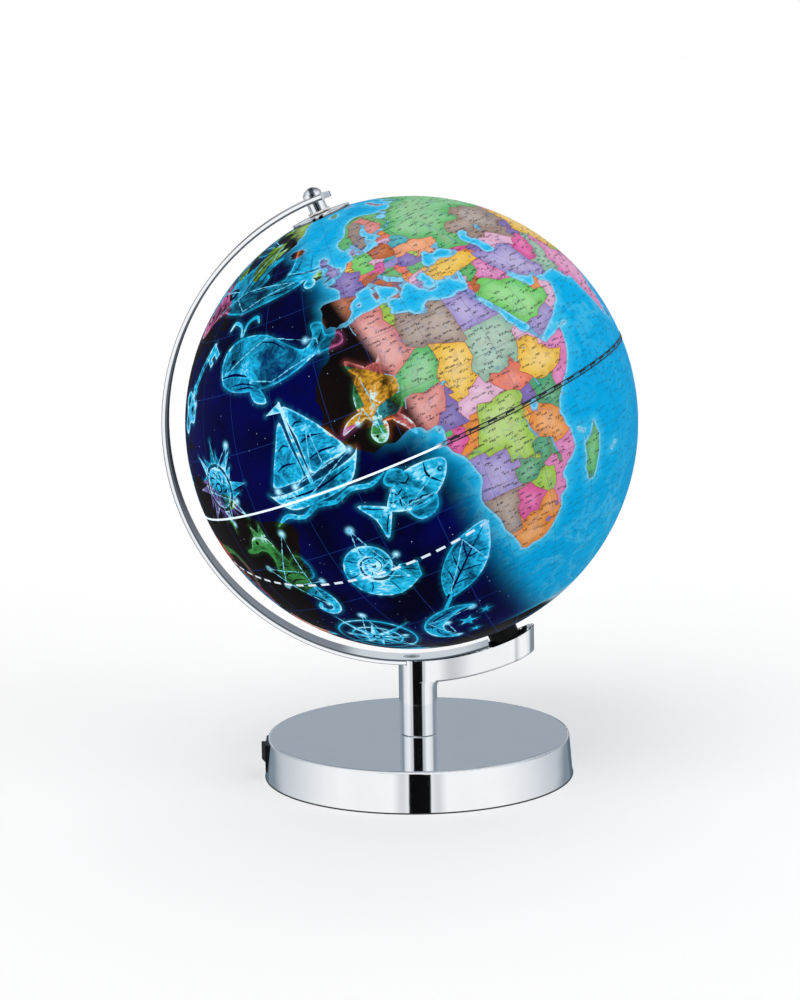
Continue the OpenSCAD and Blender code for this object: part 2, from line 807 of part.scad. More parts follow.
// Plastic floor of the base with the battery box moulded on
module floor_plate() {
    color(black)
    difference() {
        union() {
            translate([0, 0, plate_z]) cylinder(r = plate_r, h = plate_t, $fn = 180);
            translate([-box_l / 2, box_y - box_w / 2, plate_z])
                cube([box_l, box_w, box_roof_z + box_roof_t - plate_z]);
            translate([tab_x, box_y, plate_z]) cylinder(d = tab_d - 1, h = 8);
        }
        translate([-bay_l / 2, box_y - bay_w / 2, plate_z - past])
            cube([bay_l, bay_w, box_roof_z - plate_z + past]);
        // Room for a switch that reaches down to the plate
        translate([-seat_x - past, -housing_w / 2 - loose_gap, switch_z - housing_h / 2 - fit_gap])
            cube([housing_depth + past + loose_gap, housing_w + 2 * loose_gap, housing_h]);
        // Rebate for the door and the hole for its screw
        translate([0, 0, plate_z - past]) linear_extrude(door_t + past) door_outline(loose_gap / 2);
        translate([tab_x, box_y, plate_z]) cylinder(r = door_screw_d / 2 + fit_gap, h = 7);
        for (turn = screw_turns)
            rotate([0, 0, turn]) translate([base_screw_pcr, 0, plate_z])
                countersunk(base_screw_d, screw_head_d, plate_t + past, fit_gap);
        for (turn = screw_turns)
            rotate([0, 0, turn]) translate([base_screw_pcr, 0, plate_z - past])
                cylinder(r = screw_head_d / 2 + fit_gap, h = past + 0.01);
    }
}

module floor_screws() {
    color(steel)
    for (turn = screw_turns)
        rotate([0, 0, turn]) translate([base_screw_pcr, 0, plate_z + 0.05])
            countersunk(base_screw_d, screw_head_d, plate_t + screw_bite, 0);
}

module base_pad() {
    color([0.12, 0.12, 0.12])
    difference() {
        cylinder(r = pad_r, h = pad_t, $fn = 180);
        translate([0, 0, -past]) linear_extrude(pad_t + 2 * past) door_outline(loose_gap + 0.7);
    }
}

module battery_door() {
    color(black)
    difference() {
        translate([0, 0, plate_z]) linear_extrude(door_t) door_outline(0);
        translate([tab_x, box_y, plate_z])
            countersunk(door_screw_d, 1.7 * door_screw_d, door_t + past, fit_gap);
        translate([tab_x, box_y, plate_z - past])
            cylinder(r = 0.85 * door_screw_d + fit_gap, h = past + 0.01);
        // Finger groove
        translate([-door_l / 2 + 6, box_y, plate_z]) cube([1.6, 14, 1], center = true);
    }
}

module door_screw() {
    color(steel)
    translate([tab_x, box_y, plate_z + 0.05]) countersunk(door_screw_d, 1.7 * door_screw_d, 6, 0);
}

function cell_y(i) = box_y + (i - (cell_n - 1) / 2) * (cell_d + loose_gap);
// Cells lie head to tail
function cell_dir(i) = i % 2 == 0 ? 1 : -1;

module battery_cells() {
    body_l = cell_l - nub_l;
    color([0.25, 0.45, 0.3])
    for (i = [0:cell_n - 1])
        translate([cell_dir(i) * spring_l / 2, cell_y(i), cell_z]) rotate([0, cell_dir(i) * 90, 0]) {
            translate([0, 0, -cell_l / 2]) cylinder(d = cell_d, h = body_l);
            translate([0, 0, body_l - cell_l / 2 - 0.01]) cylinder(d = nub_d, h = nub_l + 0.01);
        }
}

// A flat contact at each cell's nub and a stepped spring contact at its other end
module battery_contacts() {
    face = bay_l / 2 - 0.05;
    leaf_h = cell_d - 2;
    color(copper)
    for (i = [0:cell_n - 1])
        translate([0, cell_y(i), cell_z]) rotate([0, 0, cell_dir(i) > 0 ? 0 : 180]) {
            translate([face - contact_t, -leaf_h / 2, -leaf_h / 2]) cube([contact_t, leaf_h, leaf_h]);
            translate([-face, -leaf_h / 2, -leaf_h / 2]) cube([contact_t, leaf_h, leaf_h]);
            translate([-face, 0, 0]) rotate([0, 90, 0]) {
                cylinder(d = 7, h = contact_t + spring_l / 2);
                cylinder(d = 5.5, h = contact_t + spring_l - 0.1);
            }
        }
}

// From the switch to the side of the battery box
module battery_lead() {
    side_x = -box_l / 2;
    way = [
        [-blade_end, blade_y[1], switch_z],
        [-blade_end + 5, blade_y[1], switch_z],
        [side_x - 8, box_y - box_w / 4 - 3, switch_z],
        [side_x - 4, box_y - box_w / 4, switch_z],
        [side_x - 0.05, box_y - box_w / 4, switch_z]
    ];
    color([0.7, 0.1, 0.1])
    lead_along(way, [0, 0, 1], lead_d);
}

// From the front of the battery box to the lamp's lead under the stud
module return_lead() {
    front_y = box_y - box_w / 2;
    low = stud_bottom - 1.5;
    way = [
        [0, front_y - 0.05, low],
        [0, front_y - 3, low],
        [0, lead_d / 2 + 0.4, low]
    ];
    color([0.1, 0.1, 0.1])
    lead_along(way, [1, 0, 0], lead_d);
}

module switch_housing() {
    color(black)
    difference() {
        union() {
            translate([-seat_x - bezel_t, -bezel_w / 2, switch_z - bezel_h / 2])
                cube([bezel_t, bezel_w, bezel_h]);
            translate([-seat_x - past, -housing_w / 2, switch_z - housing_h / 2])
                cube([housing_depth + past, housing_w, housing_h]);
        }
        // Well that the rocker tips in, and the holes for its pivots
        translate([-pivot_x - well_depth, -window_w / 2, switch_z - window_h / 2])
            cube([2 * well_depth, window_w, window_h]);
        translate([-pivot_x, 0, switch_z - window_h / 2 - pivot_l - fit_gap])
            cylinder(r = pivot_d / 2 + running_gap, h = window_h + 2 * pivot_l + 2 * fit_gap);
    }
}

// Rocker with a shallow V face, tipped to the side that is pressed in
module switch_rocker() {
    half = rocker_w / 2;
    color([0.1, 0.1, 0.11])
    translate([-pivot_x, 0, switch_z]) rotate([0, 0, rocker_throw / 2]) {
        translate([0, 0, -rocker_h / 2]) linear_extrude(rocker_h) polygon([
            [-0.9, 0],
            [-rocker_rise, half],
            [1.2, half - 0.2],
            [2.6, 3],
            [2.6, -3],
            [1.2, -half + 0.2],
            [-rocker_rise, -half]
        ]);
        translate([0, 0, -rocker_h / 2 - pivot_l]) cylinder(d = pivot_d, h = rocker_h + 2 * pivot_l);
    }
}

module switch_terminals() {
    color(copper)
    for (y = blade_y)
        translate([-housing_back, y - blade[1] / 2, switch_z - blade[2] / 2]) cube(blade);
}

north_hemisphere();
south_hemisphere();
equator_tape();
north_bushing();
south_collar();
pole_disc();
pole_washer();
pole_spacer();
north_pin();
pole_finial();
meridian_arm();
arm_screw();
stand_bracket();
lower_boss();
boss_screws();
lamp_tube();
led_board();
led_chips();
lamp_cap();
lamp_lead();
base_cover();
stud();
stud_washer();
stud_nut();
base_weight();
floor_plate();
floor_screws();
base_pad();
battery_door();
door_screw();
battery_cells();
battery_contacts();
battery_lead();
return_lead();
switch_housing();
switch_rocker();
switch_terminals();
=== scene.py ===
import bpy
import math
import numpy as np
from mathutils import Matrix, Vector, geometry, kdtree, noise
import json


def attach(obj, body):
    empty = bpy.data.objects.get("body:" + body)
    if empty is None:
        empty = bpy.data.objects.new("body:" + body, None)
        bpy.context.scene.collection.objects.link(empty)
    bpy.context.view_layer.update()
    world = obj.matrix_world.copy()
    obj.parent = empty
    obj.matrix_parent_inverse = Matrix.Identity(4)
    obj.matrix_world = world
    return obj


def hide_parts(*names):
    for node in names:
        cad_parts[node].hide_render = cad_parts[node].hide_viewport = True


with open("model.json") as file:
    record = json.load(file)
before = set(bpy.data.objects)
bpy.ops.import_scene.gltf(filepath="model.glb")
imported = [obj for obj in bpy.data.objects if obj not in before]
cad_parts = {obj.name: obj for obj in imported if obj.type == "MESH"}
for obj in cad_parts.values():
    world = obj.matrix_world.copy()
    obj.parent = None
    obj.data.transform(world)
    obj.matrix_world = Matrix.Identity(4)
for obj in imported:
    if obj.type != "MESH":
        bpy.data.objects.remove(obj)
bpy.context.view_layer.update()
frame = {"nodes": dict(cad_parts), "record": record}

scene = bpy.context.scene
scene.view_settings.view_transform = "Standard"

# What materials and meshes share, in millimetres and degrees. The ball's own axes: its pole leans, and
# FRONT_LON degrees east faces the front.
MM = 0.001
DEGREES = 180.0 / math.pi
BALL = 101.6
BALL_X, BALL_Z = -1.1, 161.85
MIDDLE = Vector((BALL_X, 0.0, BALL_Z))
LEAN = math.radians(22.5)
AXES = np.array([(0, -1, 0), (math.cos(LEAN), 0, math.sin(LEAN)), (-math.sin(LEAN), 0, math.cos(LEAN))])
FRONT_LON = 0.5
ARM_X, ARM_Z = -3.3, 161.65
POST_R = 8.7
FOOT_R = 70.7


# The camera stands at the photograph's place, a little above the object and turned a hair.
def make_camera():
    data = bpy.data.cameras.new("camera")
    cam = bpy.data.objects.new("camera", data)
    scene.collection.objects.link(cam)
    lift = math.radians(9.63)
    roll = math.radians(-0.8925)
    aim = Vector((-0.00686, 0.0, 0.12678))
    back = Vector((0.0, -math.cos(lift), math.sin(lift)))
    right = Vector((1.0, 0.0, 0.0))
    up = back.cross(right)
    r2 = right * math.cos(roll) + up * math.sin(roll)
    u2 = up * math.cos(roll) - right * math.sin(roll)
    distance = 1.25
    place = aim + back * distance
    m = Matrix.Identity(4)
    for i, axis in enumerate((r2, u2, back, place)):
        for j in range(3):
            m[j][i] = axis[j]
    cam.matrix_world = m
    data.sensor_width = 36.0
    data.lens = 99.576
    data.clip_start, data.clip_end = 0.05, 50.0
    scene.camera = cam


make_camera()


# Shader sums are written as sums: a Val stands for one socket.
class Val:
    def __init__(self, net, socket):
        self.net, self.socket = net, socket

    def __add__(self, o): return self.net.math("ADD", self, o)
    def __radd__(self, o): return self.net.math("ADD", o, self)
    def __sub__(self, o): return self.net.math("SUBTRACT", self, o)
    def __rsub__(self, o): return self.net.math("SUBTRACT", o, self)
    def __mul__(self, o): return self.net.math("MULTIPLY", self, o)
    def __truediv__(self, o): return self.net.math("DIVIDE", self, o)
    def __mod__(self, o): return self.net.math("FLOORED_MODULO", self, o)
    def __lt__(self, o): return self.net.math("LESS_THAN", self, o)
    def __gt__(self, o): return self.net.math("GREATER_THAN", self, o)
    def __abs__(self): return self.net.math("ABSOLUTE", self)
    def __neg__(self): return self.net.math("MULTIPLY", self, -1.0)


class Net:
    def __init__(self, tree):
        self.tree = tree
        tree.nodes.clear()

    # Any node by its type, its settings and its inputs; out picks the output.
    def put(self, kind, ins=None, out=0, **settings):
        n = self.tree.nodes.new(kind)
        for k, v in settings.items():
            setattr(n, k, v)
        for k, v in (ins or {}).items():
            if isinstance(v, Val):
                self.tree.links.new(v.socket, n.inputs[k])
            else:
                n.inputs[k].default_value = v
        return Val(self, n.outputs[out]) if out is not None else n

    def math(self, op, a, b=None, c=None):
        ins = {i: v for i, v in enumerate((a, b, c)) if v is not None}
        return self.put("ShaderNodeMath", ins, operation=op)

    def most(self, a, b): return self.math("MAXIMUM", a, b)
    def least(self, a, b): return self.math("MINIMUM", a, b)

    def vec(self, op, a, b=None, scale=None):
        ins = {0: a}
        if b is not None:
            ins[1] = b
        if scale is not None:
            ins["Scale"] = scale
        out = "Value" if op in ("DOT_PRODUCT", "LENGTH", "DISTANCE") else "Vector"
        return self.put("ShaderNodeVectorMath", ins, out, operation=op)

    def mix(self, f, a, b, blend="MIX"):
        return self.put("ShaderNodeMix", {0: f, 6: a, 7: b}, 2, data_type="RGBA", blend_type=blend)

    # Goes smoothly from a to b while x goes from lo to hi.
    def ease(self, x, lo, hi, a=0.0, b=1.0):
        ins = {0: x, 1: lo, 2: hi, 3: a, 4: b}
        return self.put("ShaderNodeMapRange", ins, interpolation_type="SMOOTHSTEP")

    def ramp(self, x, stops, way="LINEAR"):
        n = self.put("ShaderNodeValToRGB", {0: x}, None)
        n.color_ramp.interpolation = way
        while len(n.color_ramp.elements) < len(stops):
            n.color_ramp.elements.new(0.5)
        for e, (at, c) in zip(n.color_ramp.elements, stops):
            e.position = at
            e.color = c if isinstance(c, tuple) else (c, c, c, 1.0)
        return Val(self, n.outputs[0])

    def noise(self, v, scale, detail=3.0, rough=0.5, **more):
        ins = {"Vector": v, "Scale": scale, "Detail": detail, "Roughness": rough}
        ins.update(more)
        return self.put("ShaderNodeTexNoise", ins)

    def split(self, v):
        n = self.put("ShaderNodeSeparateXYZ", {0: v}, None)
        return [Val(self, n.outputs[i]) for i in range(3)]

    def join(self, x, y, z):
        return self.put("ShaderNodeCombineXYZ", {0: x, 1: y, 2: z})

    def place(self):
        return self.put("ShaderNodeTexCoord", out="Object")

    # Object coordinates, moved to a centre and turned, in the given unit.
    def local(self, centre=(0, 0, 0), turn=(0, 0, 0), unit=1.0):
        ins = {0: self.place(), 1: centre, 2: turn, 3: (unit, unit, unit)}
        return self.put("ShaderNodeMapping", ins, vector_type="TEXTURE")

    def bump(self, height, strength, distance):
        ins = {"Height": height, "Strength": strength, "Distance": distance}
        return self.put("ShaderNodeBump", ins)

    # The surface shader with its inputs, wired to the material's output.
    def surface(self, **ins):
        names = {k.replace("_", " "): v for k, v in ins.items()}
        out = self.put("ShaderNodeBsdfPrincipled", names)
        self.put("ShaderNodeOutputMaterial", {0: out}, None)


def new_net(name):
    mat = bpy.data.materials.new(name)
    mat.use_nodes = True
    return mat, Net(mat.node_tree)


# A colour written as a screen shows it, as the shader wants it.
def rgb(r, g, b):
    def one(v):
        v = v / 255.0
        return v / 12.92 if v <= 0.04045 else ((v + 0.055) / 1.055) ** 2.4
    return (one(r), one(g), one(b), 1.0)


# A white studio. Metal sees the same white with some grey and black cards in it: the directions are
# degrees to the side of the front and degrees up.
def make_world():
    world = bpy.data.worlds.new("studio")
    scene.world = world
    world.use_nodes = True
    net = Net(world.node_tree)
    way = net.put("ShaderNodeTexCoord", out="Generated")
    x, y, z = net.split(way)
    up = net.math("ARCSINE", z) * DEGREES
    turn = net.math("ARCTAN2", x, -y) * DEGREES
    side = abs(turn)

    def card(tone, base, how, az, el, soft=1.0, across=side, high=up, rise=None):
        a = net.ease(across, az[0] - soft, az[0] + soft) * net.ease(across, az[1] - soft, az[1] + soft, 1.0, 0.0)
        rise = rise or soft
        b = net.ease(high, el[0] - rise, el[0] + rise) * net.ease(high, el[1] - rise, el[1] + rise, 1.0, 0.0)
        return net.mix(a * b * how, base, tone)
    black = (0.004, 0.004, 0.005, 1.0)
    tone = net.ramp(side / 180.0, [(0.34, 1.0), (0.5, rgb(232, 234, 236)), (0.6, rgb(212, 216, 220)),
                                   (0.7, rgb(196, 200, 207)), (0.8, rgb(188, 192, 200)), (0.86, rgb(136, 141, 150)),
                                   (1.0, rgb(120, 125, 134))])
    tone = card(rgb(128, 142, 152), tone, net.ease(side, 90.0, 112.0, 0.2, 1.0), (92, 173), (11.6, 17.5), 0.8,
                high=abs(up))
    tone = card(rgb(76, 94, 108), tone, 0.8, (154, 173), (11.6, 17.5), 3.0, high=abs(up))
    tone = card(rgb(160, 170, 180), tone, net.ease(side, 90.0, 150.0), (-10, 190), (5.0, 26.0), 2.0)
    tone = card(rgb(208, 214, 219), tone, 1.0, (145, 190), (3.0, 11.6), 0.9)
    tone = net.mix(net.ease(up, 35.0, 80.0, 0.0, 0.35), tone, rgb(150, 160, 172))
    tone = card(rgb(20, 26, 34), tone, 0.9, (172, 190), (-26.0, 2.0), 2.0)
    tone = card(rgb(186, 190, 196), tone, 0.55, (9, 17), (-12.0, 1.0), 4.0)
    tone = card(black, tone, 1.0, (-10, 8), (-12.0, 1.5), 0.5)
    tone = card(rgb(132, 140, 148), tone, 0.8, (18, 42), (12.0, 17.5), 6.0, turn, abs(up))
    tone = card(rgb(150, 156, 162), tone, 0.7, (-50, -34), (12.0, 17.5), 7.0, turn, abs(up))
    tone = card(black, tone, 1.0, (-33, 24), (10.7, 19.0), 3.5, turn, abs(up), 1.0)
    ray = net.put("ShaderNodeLightPath", out=None)
    seen = Val(net, ray.outputs["Is Camera Ray"])
    shine = net.most(Val(net, ray.outputs["Is Glossy Ray"]), Val(net, ray.outputs["Is Transmission Ray"]))
    fill = net.put("ShaderNodeBackground", {0: (1, 1, 1, 1), 1: 0.62})
    metal = net.put("ShaderNodeBackground", {0: tone, 1: 1.0})
    white = net.put("ShaderNodeBackground", {0: (1, 1, 1, 1), 1: 1.0})
    a = net.put("ShaderNodeMixShader", {0: shine, 1: fill, 2: metal})
    b = net.put("ShaderNodeMixShader", {0: seen, 1: a, 2: white})
    net.put("ShaderNodeOutputWorld", {0: b}, None)


# A soft, far lamp that stands in the given direction; it lights the whole floor alike.
def make_lamp(name, way, level):
    data = bpy.data.lights.new(name, "SUN")
    data.angle = math.radians(50.0)
    data.energy = level * math.pi
    lamp = bpy.data.objects.new(name, data)
    scene.collection.objects.link(lamp)
    lamp.rotation_euler = Vector(way).to_track_quat("Z", "Y").to_euler()
    lamp.visible_camera = False
    lamp.visible_glossy = False


def make_stage():
    bpy.ops.mesh.primitive_circle_add(vertices=96, radius=30.0, fill_type="NGON", location=(0, 0, 0))
    floor = bpy.context.active_object
    floor.name = "floor"
    mat, net = new_net("floor")
    grain = net.noise(net.place(), 40.0)
    ray = net.put("ShaderNodeLightPath", out=None)
    seen = Val(net, ray.outputs["Is Camera Ray"])
    # Within FOOT_R of the middle the floor is painted dark and gets no lift: a painted contact shadow under the base.
    outside_painted_shadow = net.vec("LENGTH", net.place()) > FOOT_R * MM
    pale = net.mix(grain, (0.79, 0.79, 0.79, 1), (0.8, 0.8, 0.8, 1))
    matt = net.put("ShaderNodeBsdfDiffuse", {0: net.mix(outside_painted_shadow, (0.1, 0.1, 0.1, 1), pale)})
    lift = net.put("ShaderNodeEmission", {0: net.mix(seen * outside_painted_shadow, (0, 0, 0, 1), (0.21, 0.21, 0.21, 1)), 1: 1.0})
    both = net.put("ShaderNodeAddShader", {0: matt, 1: lift})
    net.put("ShaderNodeOutputMaterial", {0: both}, None)
    floor.data.materials.append(mat)
    floor.visible_glossy = False
    make_lamp("key", (-0.45, -0.75, 1.0), 0.30)
    make_lamp("fill", (0.9, -0.7, 0.5), 0.22)
    make_lamp("back", (0.1, 1.0, 0.9), 0.10)


make_world()
make_stage()


# Polished chrome with a trace of wiping marks; an edge function, where given, paints dark reflections into its
# colour.
def chrome(name, bulge=None, edge=None):
    mat, net = new_net(name)
    p = net.local(unit=MM)
    cloud = net.noise(p, 0.06, 4.0, 0.6)
    wipe = net.noise(net.vec("MULTIPLY", p, (0.4, 0.4, 6.0)), 0.3, 3.0)
    gloss = 0.022 + cloud * 0.03 + wipe * 0.012
    tint = net.mix(cloud, rgb(236, 239, 243), rgb(246, 248, 250))
    # Painted reflections: the edge function darkens the colour towards a deep blue.
    if edge:
        tint = net.mix(edge(net, p), tint, rgb(22, 48, 66))
    wave = net.bump(net.noise(p, 0.04, 2.0), 0.05, 0.0004) if bulge is None else net.bump(bulge(net, p), 1.0, 0.001)
    net.surface(Base_Color=tint, Metallic=1.0, Roughness=gloss, Normal=wave)
    return mat


def metal(name, a, b, rough, grain=1.0, strength=0.15):
    mat, net = new_net(name)
    p = net.local(unit=MM)
    cloud = net.noise(p, 0.35 * grain, 4.0, 0.6)
    fine = net.noise(net.vec("MULTIPLY", p, (1.0, 1.0, 5.0)), 2.2 * grain, 3.0)
    net.surface(Base_Color=net.mix(cloud, a, b), Metallic=1.0,
                Roughness=rough + (fine - 0.5) * 0.12, Normal=net.bump(fine, strength, 0.0002))
    return mat


def plastic(name, a, b, rough, grain=1.0, strength=0.12, light=0.4):
    mat, net = new_net(name)
    p = net.local(unit=MM)
    cloud = net.noise(p, 0.12 * grain, 3.0)
    fine = net.noise(p, 3.0 * grain, 3.0)
    net.surface(Base_Color=net.mix(cloud, a, b), Roughness=rough + (fine - 0.5) * 0.1,
                Specular_IOR_Level=light, Normal=net.bump(fine, strength, 0.00015))
    return mat


# The flat wall of the bracket is polished a little round, so that it carries on from the post and runs
# softly into its round end.
def wall_bulge(net, p):
    x, y, _ = net.split(p)
    near = net.least(net.most(x - 0.5, 0.0), 4.6)
    flat = net.least(net.most(x - 5.1, 0.0), 36.2)
    last = net.least(net.most(x - 41.3, 0.0), 7.0)
    away = near * near * 0.065 + flat * 0.6 + last * 0.6 - last * last * 0.0429
    return (abs(y) > 8.69 - (x > 44.0) * 0.9) * away * -1.0


# Painted reflections on the wall: a soft dark band, and a dark line along its lower edge.
def wall_painted_reflection(net, p):
    x, y, z = net.split(p)
    r = net.vec("LENGTH", net.join(x - BALL_X, 0.0, z - BALL_Z))
    first = net.ease(x, 8.0, 15.0) * net.ease(x, 15.5, 27.0, 0.36, 0.0)
    low = net.ease(r, 117.0, 117.6) * net.ease(x, 9.0, 50.0, 0.8, 0.4) * (x > 8.0)
    return (abs(y) > 6.0) * net.most(first, low)


# The arm's narrow faces lean a hair, and their rounded edges carry painted dark reflections.
def arm_bulge(net, p):
    return net.split(p)[0] * -0.5


def arm_painted_reflection(net, p):
    x, y, z = net.split(p)
    r = net.vec("LENGTH", net.join(x - ARM_X, 0.0, z - ARM_Z))
    lines = net.ease(abs(r - 107.75), 0.3, 0.6, 0.9, 0.0) + net.ease(abs(r - 109.75), 0.15, 0.4, 0.75, 0.0)
    return (abs(y) > 6.8) * lines


# The pieces at the pole carry a painted reflection of a dark band in front, and painted shade where they stand on the
# globe.
def pole_painted_reflection_and_shade(net, p):
    x, y, z = net.split(p)
    across = (x - BALL_X) * math.cos(LEAN) + (z - BALL_Z) * math.sin(LEAN)
    far = net.vec("LENGTH", net.join(x - BALL_X, y, z - BALL_Z))
    painted_reflection_band = (y < 0.0) * net.ease(abs(across - 0.3), 0.7, 1.4, 0.92, 0.0) * net.ease(far, 102.4, 103.2)
    return net.most(painted_reflection_band, net.ease(far, 102.1, 102.9, 0.85, 0.0))


MATERIALS = {
    "pole_chrome": chrome("pole_chrome", edge=pole_painted_reflection_and_shade),
    "bracket_chrome": chrome("bracket_chrome", wall_bulge, wall_painted_reflection),
    "arm_chrome": chrome("arm_chrome", arm_bulge, arm_painted_reflection),
    "chrome": chrome("chrome"),
    "steel": metal("steel", rgb(196, 198, 202), rgb(214, 215, 217), 0.22),
    "iron": metal("iron", rgb(70, 72, 76), rgb(92, 92, 94), 0.5, 0.6, 0.35),
    "black_plastic": plastic("black_plastic", rgb(8, 9, 10), rgb(15, 16, 17), 0.42, light=0.1),
    "rocker_plastic": plastic("rocker_plastic", rgb(9, 10, 11), rgb(16, 16, 18), 0.4, 1.4, light=0.06),
    "white_plastic": plastic("white_plastic", rgb(232, 232, 228), rgb(240, 240, 236), 0.4),
    "board": plastic("board", rgb(238, 238, 233), rgb(245, 245, 241), 0.4, 2.0),
    "frosted_plastic": plastic("frosted_plastic", rgb(226, 232, 238), rgb(240, 243, 246), 0.62, 1.2),
    "lead_sheath": plastic("lead_sheath", rgb(222, 222, 222), rgb(228, 228, 227), 0.48, 2.0),
    "foam_rubber": plastic("foam_rubber", rgb(34, 34, 36), rgb(52, 52, 53), 0.9, 0.7, 0.6, 0.2),
    "cell_sleeve": plastic("cell_sleeve", rgb(122, 164, 138), rgb(130, 170, 144), 0.32, 0.8),
    "contact_brass": metal("contact_brass", rgb(208, 170, 92), rgb(222, 188, 112), 0.26),
    "light_chip": plastic("light_chip", rgb(240, 222, 120), rgb(250, 236, 150), 0.45, 3.0),
}


# The way to the middle of the day part, and how far it reaches at each height.
DAY_WAY = (0.087, 0.967, 0.240)
DAY_EDGE = ((-1.0, 0.12), (-0.9, 0.05), (-0.66, 0.1), (-0.32, 0.185), (-0.1, 0.228), (0.05, 0.192), (0.36, 0.21),
            (0.68, 0.178), (0.82, 0.205), (1.0, 0.13))
HUES = {
    "rose": rgb(216, 142, 138), "taupe": rgb(162, 144, 134), "lavender": rgb(162, 150, 206),
    "green": rgb(104, 188, 120),
    "jade": rgb(88, 168, 126), "sage": rgb(156, 190, 172), "yellow": rgb(232, 192, 82), "red": rgb(228, 130, 108),
    "magenta": rgb(220, 102, 168), "pink": rgb(220, 142, 192), "violet": rgb(134, 118, 184),
    "lime": rgb(164, 202, 92),
    "leaf": rgb(120, 204, 112), "orange": rgb(230, 152, 72), "peach": rgb(232, 166, 126), "brown": rgb(190, 112, 70),
    "teal": rgb(80, 180, 188), "pale": rgb(222, 182, 210), "snow": rgb(170, 200, 216),
}


